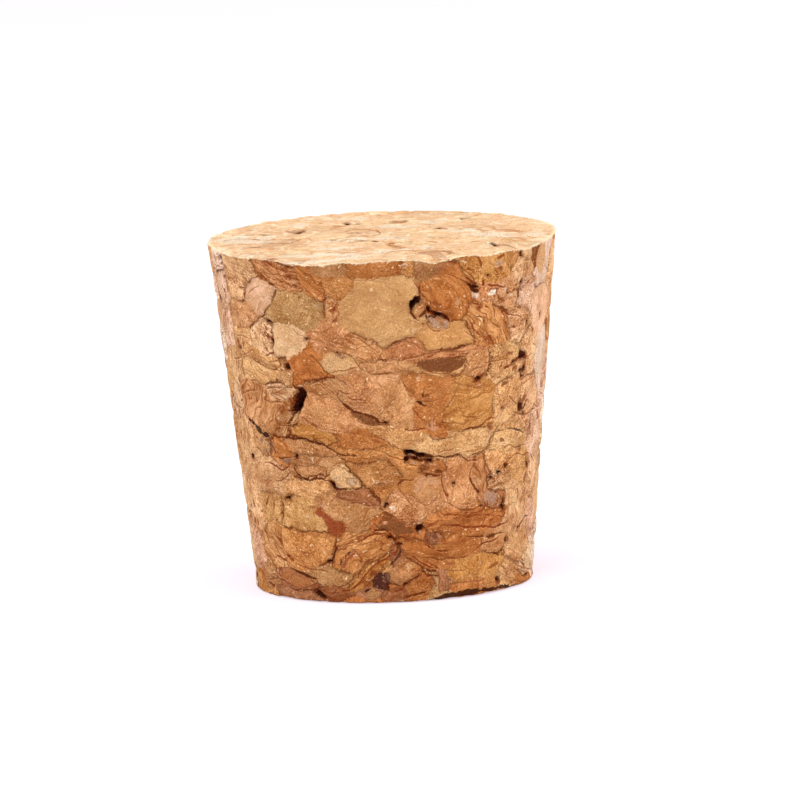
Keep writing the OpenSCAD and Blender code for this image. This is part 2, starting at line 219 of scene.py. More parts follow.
# Granules of the front, from the rim down: across, up, half width, half height, tilt and cork, then habit
# and grain where they aren't sandy and 0
FRONT_GRANULES = granules(
    # under the rim
    (-74, 97, 0.9, 0.7, 0, Cork.EDGE_SHEEN, Habit.SPECKLED, 10), (-57, 96, 1.6, 0.85, -25, Cork.SAND, Habit.LAYERED, -38),
    (-39, 96, 1.7, 0.75, -26, Cork.BLUSH, Habit.STREAKED, -22),
    (-25, 93.5, 0.7, 1.15, 32, Cork.AMBER, Habit.LAYERED, -30),
    (-18.5, 97.6, 1.2, 0.45, 0, Cork.DRAB, Habit.SANDY, 20), (-16, 92.2, 0.75, 0.75, 0, Cork.HONEY),
    (-3.5, 97.2, 1.5, 0.55, 0, Cork.BRICK, Habit.SANDY, 10), (8.4, 97, 0.38, 0.5, 0, Cork.HONEY),
    (15, 96.4, 0.85, 0.6, 0, Cork.DRAB), (37.5, 95, 1.75, 0.85, 0, Cork.OCHRE, Habit.SPECKLED, -45),
    (55, 95, 0.9, 1.1, 0, Cork.SAND, Habit.SPECKLED, 60), (70, 94, 0.95, 1.5, 0, Cork.EDGE_SHEEN, Habit.SMOOTH, 80),
    # second course
    (-73, 88, 0.85, 1.1, 0, Cork.ROSE, Habit.SPECKLED, 70), (-60, 90, 0.85, 0.7, 0, Cork.SAND, Habit.SPECKLED, -30),
    (-47, 89.2, 1.15, 0.8, 5, Cork.ROSE, Habit.SMOOTH, 20), (-31.5, 85, 1.65, 1, -6, Cork.OLIVE, Habit.SANDY, -10),
    (-18, 85, 0.5, 0.9, 8, Cork.BLUSH, Habit.SPECKLED, 80), (-0.5, 85.5, 2.15, 1.75, 0, Cork.STRAW, Habit.SMOOTH),
    (22, 88.5, 1.65, 1.45, -28, Cork.ORANGE, Habit.LAYERED, -42),
    (36.5, 88.2, 0.75, 0.5, -10, Cork.CLAY, Habit.SPECKLED),
    (46.5, 86.5, 1, 0.8, -10, Cork.BLUSH, Habit.SPECKLED, -20), (57, 85, 0.7, 1, 0, Cork.ROSE, Habit.SPECKLED, 60),
    (70, 80, 0.95, 1.3, 0, Cork.ROSE, Habit.SMOOTH, 80), (18.4, 81, 0.68, 0.42, -5, Cork.DRAB, Habit.SMOOTH),
    # third course
    (-72, 77, 0.8, 1.1, 0, Cork.ROSE, Habit.SPECKLED, 80), (-59, 82, 1.15, 0.75, 0, Cork.BLUSH, Habit.SPECKLED, -20),
    (-60, 75, 0.85, 0.75, 0, Cork.STRAW, Habit.SPECKLED, -30),
    (-48.8, 75.5, 0.8, 0.9, 0, Cork.CREAM, Habit.SPECKLED, -50),
    (-36, 75.6, 0.98, 0.92, -12, Cork.CREAM, Habit.SMOOTH, -20), (-20.5, 78, 0.95, 0.85, 0, Cork.BLUSH),
    (-10, 74, 1.35, 0.7, -16, Cork.BLUSH, Habit.LAYERED, -22), (23, 76.6, 1.65, 0.72, 2, Cork.TAN, Habit.SMOOTH),
    (38, 79, 1.75, 1.05, -25, Cork.HONEY, Habit.STREAKED, -57),
    (54, 77.5, 0.9, 0.9, 0, Cork.SAND, Habit.SPECKLED, 30),
    # fourth course
    (-70, 67, 0.85, 1, 0, Cork.SAND, Habit.SPECKLED, 80),
    (-50, 70.6, 1.35, 0.35, -16, Cork.STRAW, Habit.LAYERED, -20),
    (-51.5, 66, 1.6, 0.62, -5, Cork.STRAW, Habit.LAYERED, -35),
    (-38.3, 66.3, 0.42, 0.75, 0, Cork.DRAB, Habit.SPECKLED),
    (-28.5, 68.6, 1.15, 0.95, -14, Cork.ORANGE, Habit.LAYERED, -10),
    (-34, 64.5, 0.42, 0.5, 30, Cork.ORANGE, Habit.SANDY, 40), (-17.6, 70, 1, 0.52, 0, Cork.STRAW),
    (-2, 68.4, 1.5, 0.32, -2, Cork.BLUSH, Habit.LAYERED, -3), (6, 73, 0.85, 0.45, 8, Cork.CLAY),
    (25, 71.4, 1.9, 0.28, 3, Cork.CLAY, Habit.STREAKED, 5), (20, 67.8, 1.3, 0.42, 5, Cork.TAN, Habit.LAYERED, 8),
    (35, 67.5, 0.85, 0.75, 0, Cork.BLUSH, Habit.SANDY, 20), (46, 67, 1.3, 1, 0, Cork.STRAW, Habit.SPECKLED, 20),
    (61, 67, 0.8, 1.2, 0, Cork.SAND, Habit.SPECKLED, 60), (73, 66, 0.8, 1.3, 0, Cork.EDGE_SHEEN, Habit.SMOOTH, 80),
    # fifth course
    (-74, 56, 0.85, 1.1, 0, Cork.SHELL, Habit.SPECKLED, 80),
    (-55.5, 56.5, 1.45, 1.05, 0, Cork.BLUSH, Habit.RINGED, 60),
    (-43.5, 60.8, 0.9, 0.42, 0, Cork.CREAM, Habit.LAYERED),
    (-39.5, 53.5, 0.4, 0.95, -35, Cork.DRAB, Habit.RINGED, 55),
    (-21.5, 55, 1.75, 0.9, -10, Cork.BLUSH, Habit.SANDY, -10),
    (-21, 62.6, 1.35, 0.5, -4, Cork.DRAB, Habit.LAYERED, -8), (-8, 62.6, 1.5, 0.85, -5, Cork.BLUSH),
    (-6.5, 54.6, 0.98, 0.26, -22, Cork.BLUSH, Habit.LAYERED, -22),
    (3, 56.5, 1.2, 1.2, 0, Cork.BLUSH, Habit.SANDY, 50), (14, 59, 1.2, 1.4, 0, Cork.AMBER, Habit.SANDY, 20),
    (31, 55.5, 1.6, 1.25, 0, Cork.OCHRE, Habit.LAYERED, 15),
    (49.5, 55.5, 1.1, 1.15, 0, Cork.STRAW, Habit.SPECKLED, 40),
    (63, 55, 0.85, 1.15, 0, Cork.SAND, Habit.SPECKLED, 65),
    # sixth course
    (-70, 45, 0.9, 1.1, 0, Cork.SAND, Habit.SPECKLED, 80), (-54, 46, 0.75, 0.7, -40, Cork.DRAB, Habit.SPECKLED, -40),
    (-46, 43.5, 0.9, 0.55, -25, Cork.AMBER, Habit.LAYERED, -28),
    (-30.5, 49.3, 1.7, 0.3, -8, Cork.OCHRE, Habit.LAYERED, -8),
    (-12, 47.4, 1.3, 0.6, -8, Cork.AMBER, Habit.LAYERED, -10), (2, 48.6, 1.2, 0.45, -10, Cork.TAN, Habit.SANDY, -10),
    (-31, 44.6, 1.35, 0.42, -9, Cork.DRAB, Habit.SANDY, -8), (-29, 41.2, 1.3, 0.36, 0, Cork.DRAB, Habit.LAYERED),
    (-9, 43.4, 1.55, 0.42, -6, Cork.HONEY, Habit.SANDY, -8), (18.8, 49.2, 0.58, 0.4, -8, Cork.BRICK),
    (25.5, 45.5, 2.05, 0.62, 4, Cork.STRAW, Habit.SANDY, 4), (51.5, 44, 1.35, 0.62, 0, Cork.STRAW, Habit.SPECKLED),
    (70, 43, 0.9, 1.2, 0, Cork.ROSE, Habit.SPECKLED, 70),
    # seventh course
    (-57, 35.3, 1.7, 0.95, 0, Cork.SAND, Habit.SANDY, 20), (-33.5, 37.9, 0.85, 0.4, 0, Cork.DRAB),
    (-35.5, 33.4, 1.2, 0.5, 5, Cork.STRAW), (-16.8, 36, 0.82, 0.5, -32, Cork.STRAW, Habit.SANDY, -20),
    (-5.5, 38, 1.15, 0.85, 0, Cork.HONEY), (6, 40, 1.1, 0.5, -8, Cork.HONEY, Habit.SANDY, -10),
    (15.5, 38.2, 0.85, 0.3, 0, Cork.AMBER), (-12, 31, 1.1, 0.42, 0, Cork.MAUVE),
    (11.5, 33.2, 1.08, 0.75, 0, Cork.HONEY, Habit.SMOOTH), (27, 33, 1.05, 1.1, 0, Cork.BLUSH, Habit.SANDY, 80),
    (36.8, 34.6, 0.5, 0.85, 12, Cork.BLUSH, Habit.RINGED, 80), (47.5, 38, 1, 0.6, 10, Cork.TAN, Habit.SPECKLED, 20),
    (46, 32.3, 0.8, 0.6, 0, Cork.SAND, Habit.SPECKLED), (60, 36, 0.85, 0.9, 0, Cork.TAN, Habit.SPECKLED, 40),
    (73, 31, 0.8, 1.2, 0, Cork.SHELL, Habit.SPECKLED, 75),
    # eighth course
    (-68, 25, 0.95, 1.2, 0, Cork.SAND, Habit.SPECKLED, 85), (-55, 27, 0.95, 0.75, 0, Cork.TAN, Habit.SPECKLED, 70),
    (-40, 25, 1.5, 0.85, -12, Cork.TAN, Habit.SANDY, -15), (-18.5, 26.2, 1.35, 0.85, -5, Cork.DRAB, Habit.SANDY, -8),
    (-4, 32.6, 0.6, 0.5, 0, Cork.HONEY), (6, 27.6, 0.95, 0.95, 0, Cork.BLUSH, Habit.SPECKLED, 20),
    (16.6, 28.4, 0.5, 0.42, 30, Cork.BLUSH, Habit.SANDY, 30),
    (1, 21.9, 1.25, 0.52, -14, Cork.ORANGE, Habit.SANDY, 50), (30, 22.6, 2.2, 0.62, 0, Cork.BRICK, Habit.STREAKED),
    (43.5, 28, 0.75, 0.48, 0, Cork.CLAY, Habit.SPECKLED), (54.5, 28, 0.6, 0.5, 30, Cork.SAND, Habit.SANDY, 40),
    (60, 21, 1.05, 0.85, 0, Cork.SAND, Habit.LAYERED, 55), (73, 20, 0.75, 1, 0, Cork.ROSE, Habit.SPECKLED, 70),
    # ninth course
    (-72, 12, 0.8, 1.1, 0, Cork.ROSE, Habit.SPECKLED, 80), (-57, 15, 1.1, 0.9, 20, Cork.TAN, Habit.RINGED, -35),
    (-39.5, 15.6, 1.7, 0.85, -4, Cork.HONEY, Habit.SANDY, -30),
    (-14, 14.6, 1.25, 0.85, 24, Cork.HONEY, Habit.RINGED, 30), (-9, 8.6, 1.5, 0.4, 38, Cork.OCHRE, Habit.RINGED, 40),
    (-27, 7.2, 0.95, 0.5, -6, Cork.DRAB, Habit.SANDY, -10), (0.5, 13.2, 0.45, 0.5, 40, Cork.BARK, Habit.SPECKLED, 40),
    (13.5, 15, 1.3, 0.38, -13, Cork.ORANGE, Habit.LAYERED, -14), (16, 18.6, 0.5, 0.22, 0, Cork.MAUVE),
    (16.5, 11, 1.2, 0.3, -14, Cork.BRICK, Habit.LAYERED, -14),
    (29.5, 15.2, 1.2, 0.62, -4, Cork.BRICK, Habit.LAYERED, 10),
    (43.5, 14.6, 0.85, 0.6, 8, Cork.BLUSH, Habit.SANDY, 10), (60, 12, 1, 0.8, 0, Cork.STRAW, Habit.SPECKLED, -30),
    # along the base
    (-46, 5.6, 1.55, 0.36, -8, Cork.MAUVE, Habit.LAYERED, -8), (-63, 5, 0.9, 0.6, 0, Cork.DRAB, Habit.SPECKLED, -10),
    (-48, 1.8, 1.5, 0.3, -5, Cork.MAUVE, Habit.SANDY, -5), (-26, 2.6, 1, 0.35, -4, Cork.BARK, Habit.LAYERED, -6),
    (-10, 2.8, 0.6, 0.35, 10, Cork.MAUVE), (-6, 7, 0.36, 0.75, -12, Cork.PLUM, Habit.SPECKLED, 70),
    (4.6, 8.7, 0.68, 0.66, 12, Cork.AMBER), (1, 2.2, 0.7, 0.3, 5, Cork.BARK, Habit.LAYERED, 5),
    (11, 4, 0.9, 0.62, 10, Cork.BRICK, Habit.SANDY, 20), (19.8, 5.3, 0.3, 0.8, 0, Cork.MAUVE, Habit.SANDY, 80),
    (36.5, 8.2, 1.6, 0.68, 5, Cork.OCHRE, Habit.SANDY, 80), (33.5, 2.8, 1.8, 0.45, 0, Cork.AMBER, Habit.SANDY, 60),
    (54.5, 5.2, 0.95, 0.75, 0, Cork.STRAW, Habit.RINGED, -25), (70, 6, 0.8, 0.8, 0, Cork.CREAM, Habit.SPECKLED, -20),
)


def lies_near(local: np.ndarray, face: Face) -> np.ndarray:
    """Tells which points lie on a mark's own face, by how far they stand off its plane."""
    return np.abs(local[:, 2]) < (2.5 if face is Face.FLANK else 0.45)


@dataclass(frozen=True)
class Spot:
    """A round or long mark: across and up as for a granule, half sizes in millimetres, tilt in degrees."""

    across: float
    up: float
    half_width: float
    half_height: float
    tilt: float = 0.0
    face: Face = Face.FLANK

    def inside(self, points: np.ndarray) -> np.ndarray:
        """Distance in millimetres that each point lies inside the mark, less than 0 outside."""
        centre, axes = TAPER.spot(self.face, self.across, self.up)
        local = (points - centre) @ turned(axes, self.tilt).T
        reach = np.hypot(local[:, 0] / self.half_width, local[:, 1] / self.half_height)
        inside = (1 - reach) * min(self.half_width, self.half_height)
        return np.where(lies_near(local, self.face), inside, OUTSIDE)


@dataclass(frozen=True)
class Shard:
    """An angular mark: its corners in order, each as across and up."""

    corners: tuple[tuple[float, float], ...]
    face: Face = Face.FLANK

    def inside(self, points: np.ndarray) -> np.ndarray:
        """Distance in millimetres that each point lies inside the mark, less than 0 outside."""
        middle = np.mean(self.corners, axis=0)
        centre, axes = TAPER.spot(self.face, middle[0], middle[1])
        outline = np.array([(TAPER.spot(self.face, a, u)[0] - centre) @ axes.T for a, u in self.corners])[:, :2]
        local = (points - centre) @ axes.T
        flat = local[:, :2]
        gap = np.full(len(points), -OUTSIDE)
        crossings = np.zeros(len(points), dtype=bool)
        for start, end in zip(outline, np.roll(outline, -1, axis=0)):
            side, reach = end - start, flat - start
            share = np.clip(reach @ side / (side @ side), 0, 1)
            gap = np.minimum(gap, np.linalg.norm(reach - share[:, None] * side, axis=1))
            straddles = (start[1] <= flat[:, 1]) != (end[1] <= flat[:, 1])
            rise = side[1] if abs(side[1]) > 1e-9 else 1e-9
            crossings ^= straddles & (reach[:, 0] < reach[:, 1] * side[0] / rise)
        return np.where(lies_near(local, self.face), np.where(crossings, gap, -gap), OUTSIDE)


@dataclass(frozen=True)
class Hollow:
    """A void in the surface: its shape and its depth in millimetres."""

    shape: Spot | Shard
    depth: float


@dataclass(frozen=True)
class Patch:
    """A stain or fleck: its shape, its colour, how strong it is and how far it fades in, in millimetres."""

    shape: Spot | Shard
    cork: Cork
    strength: float
    fade: float


Path = tuple[tuple[float, float], ...]


@dataclass(frozen=True)
class Stroke:
    """A crack or a drawn growth line: its path, its colour, and its width and depth in millimetres."""

    path: Path
    cork: Cork
    width: float
    depth: float = 0.0
    face: Face = Face.FLANK


def pairs(row: tuple[float, ...]) -> Path:
    """Takes a row of numbers two by two, as across and up."""
    return tuple(zip(row[::2], row[1::2]))


def outline(row: tuple[float, ...], face: Face) -> Spot | Shard:
    """Reads four or five numbers as a spot, and a longer row as a shard's corners."""
    return Spot(*row, face=face) if len(row) < 6 else Shard(pairs(row), face)


def hollows(*groups: tuple) -> tuple[Hollow, ...]:
    """Cuts voids, in groups that share a depth in millimetres and a face."""
    return tuple(Hollow(outline(row, face), depth) for (depth, face), *rows in groups for row in rows)


def strokes(*groups: tuple) -> tuple[Stroke, ...]:
    """Draws lines, in groups that share a colour and a width, and may share a depth and a face."""
    return tuple(Stroke(pairs(row), *look) for look, *rows in groups for row in rows)


def patch(row: tuple[float, ...], cork: Cork, strength: float, face: Face = Face.FLANK, fade: float = FADE) -> Patch:
    """Lays one stain or fleck."""
    return Patch(outline(row, face), cork, strength, fade)


def patches(*groups: tuple) -> tuple[Patch, ...]:
    """Lays stains and flecks, in groups that share a colour and a strength, and may share a face and a fade."""
    return tuple(patch(row, *look) for look, *rows in groups for row in rows)


# In the tables below, a row holds across and up for each corner or point in turn, or a spot's own numbers.
# Voids: depth and face, then their rows
HOLLOWS = hollows(
    ((0.8, Face.FLANK), (-31.4, 62.4, -30.4, 61, -32.4, 57.2, -34.4, 55.2, -38, 54.8, -34.2, 62.3)),
    ((0.7, Face.FLANK),
     (12.3, 87.9, 13.4, 86.8, 11.2, 86.6, 10, 85.8, 9.3, 84.8, 9.1, 83.7, 8.3, 83.9, 8.4, 85.4, 8, 86.6, 10.9, 88.5)),
    ((0.5, Face.FLANK), (14, 85.6, 14.9, 85.6, 15.6, 84.6, 14.8, 84, 14, 84.6),
     (-46.6, 81.4, -43.6, 81.6, -41.6, 80.5, -41.8, 79.9, -44.2, 80.4),
     (-47.1, 29.3, -43.4, 30.7, -41.2, 30.9, -42.8, 29.9, -45.4, 28.9),
     (8.2, 21.5, 9.6, 22.4, 11.8, 22.4, 12.2, 21.4, 10.2, 20.5, 9.6, 19.9),
     (5.2, 44.3, 7.3, 44.4, 10.2, 43.5, 17.1, 42, 16.1, 41.7, 10.2, 42.5, 7.7, 43.1, 6.3, 42.5, 5.6, 42.9),
     (5, 41.9, 6, 42.5, 16.1, 41, 15.7, 40.2, 10.1, 41.1, 7.3, 41.8, 5.8, 40.8, 5.1, 41.1)),
    ((0.4, Face.FLANK),
     (15.1, 84.3, 17, 84.1, 18.9, 83.4, 20.5, 82.8, 22.1, 81.7, 21.5, 81.5, 19.8, 82.3, 17.9, 82.4, 16.3, 83.1),
     (-68.6, 98, 0.22, 0.11, -10), (-79, 89, 0.2, 0.12, -30), (-75, 85.2, 0.2, 0.16, -40),
     (52.6, 98.4, 0.14, 0.2, 10), (27.6, 91.8, 29.6, 91.2, 31.6, 90.2, 33.6, 89.8, 33, 89, 31, 89.4),
     (-3.6, 28.1, -2.7, 29.2, -1.3, 29.6, -0.7, 29.3, -1.5, 28.5, -3.1, 27.8), (48.6, 25.2, 0.12, 0.38, 4)),
    ((0.3, Face.FLANK), (53.6, 89.2, 0.12, 0.14), (52, 86.8, 0.1, 0.09),
     (53.6, 67.4, 55.4, 69, 57.4, 68.6, 58.8, 67.6, 57.6, 66.6, 55.6, 66.4), (51.5, 66.2, 0.22, 0.1, 30),
     (57.3, 63.6, 0.1, 0.2, -20), (-64.5, 40.3, 0.16, 0.14, 20),
     (-38.7, 69.1, -36.8, 69.3, -35.8, 68.5, -36.5, 67.8, -37.5, 67.3, -38.2, 68),
     (31.6, 62.7, 34.2, 63.9, 35.9, 64.2, 36.9, 63.8, 34.1, 62.5, 32.7, 62.4), (-37.8, 42.4, 0.13, 0.1, 10),
     (-22.9, 35, 0.17, 0.12, -30), (-21.8, 33.4, 0.16, 0.1, -30),
     (-2.4, 19.9, -1.1, 19.8, 0.4, 18.6, -0.8, 18.4, -1.9, 18.8), (2.2, 17.3, 0.2, 0.08, -8),
     (12, 38.4, 0.18, 0.09, 10), (-26.8, 12.2, 0.2, 0.1, 25),
     (-36.8, 3.4, -32.8, 3.3, -30.9, 2.5, -29.2, 1.4, -30.3, 1, -33.1, 1.4), (47.2, 3.2, 0.12, 0.14),
     (51.7, 14.7, 0.1, 0.13), (-1.3, 52.5, 0.16, 0.08, 10), (49, 36.3, 0.17, 0.14, 30), (45.3, 34.8, 0.2, 0.13, 15),
     (41.4, 33.8, 0.13, 0.11), (62.4, 36.8, 64, 36.2, 66.6, 34.6, 65.6, 34, 63.2, 34.8), (52.1, 14.4, 0.1, 0.1),
     (-27.2, 12, 0.22, 0.09, 25), (47.2, 3.4, 0.1, 0.12), (-81, 3.4, 0.2, 0.5, 8)),
    ((0.25, Face.FLANK), (-16.7, 72.7, 0.12, 0.07, -30), (-37.5, 42.2, 0.14, 0.1, 10), (-43.1, 75.5, 0.12, 0.16),
     (37.1, 92.7, 0.1, 0.09), (55.9, 63.1, 0.1, 0.16), (-39, 39.4, 0.12, 0.1), (-37.3, 36.5, 0.1, 0.12),
     (-28.4, 76.7, 0.12, 0.1, -40), (-16.8, 72.7, 0.18, 0.08, -30), (12, 38.5, 0.16, 0.07, 8), (40, 48.8, 0.09, 0.1),
     (45.6, 31.5, 0.18, 0.07)),
    ((0.2, Face.FLANK), (-27.6, 77, 0.08, 0.06), (-40.5, 47.8, 0.12, 0.09), (-62.1, 72.3, 0.16, 0.12),
     (45.9, 87.1, 0.08, 0.12), (58.1, 76.7, 0.12, 0.18, 10), (68.3, 77.7, 0.12, 0.16, -20), (55.4, 96, 0.1, 0.08),
     (56.6, 61.5, 0.12, 0.08), (45.7, 53.5, 0.12, 0.08, 10), (58.8, 50.2, 0.12, 0.08), (17.9, 37.8, 0.1, 0.07),
     (-3.5, 34.5, 0.2, 0.08, -5), (-1.3, 34.3, 0.14, 0.07, 10), (-7, 28.5, 0.08, 0.08), (24.1, 33.7, 0.13, 0.1, 15),
     (35.7, 30.2, 0.1, 0.1), (37.1, 26, 0.1, 0.08), (59.5, 17.1, 0.1, 0.12), (4.5, 5.5, 0.15, 0.08, 15),
     (57, 52.6, 0.3, 0.2, -30), (18.2, 37.8, 0.1, 0.06), (37.6, 36.3, 0.1, 0.06)),
    ((0.3, Face.TOP), (-4.6, 2.5, 0.4, 0.22, 20), (-1.9, 5.2, 0.14, 0.22), (-1.5, 5, 0.16, 0.22),
     (-1.3, 4.7, 0.12, 0.2), (4.6, 5.7, 0.24, 0.26), (-0.7, -2.1, 0.16, 0.16), (4.1, -8.9, 0.3, 0.12, 10)),
    ((0.25, Face.TOP), (-1, -1.8, 0.12, 0.16), (-0.4, -2.5, 0.12, 0.16)),
    ((0.2, Face.TOP), (1, 4.9, 0.3, 0.2, 15), (-6.3, 1.5, 0.2, 0.1), (3, 2.1, 0.2, 0.16)),
)
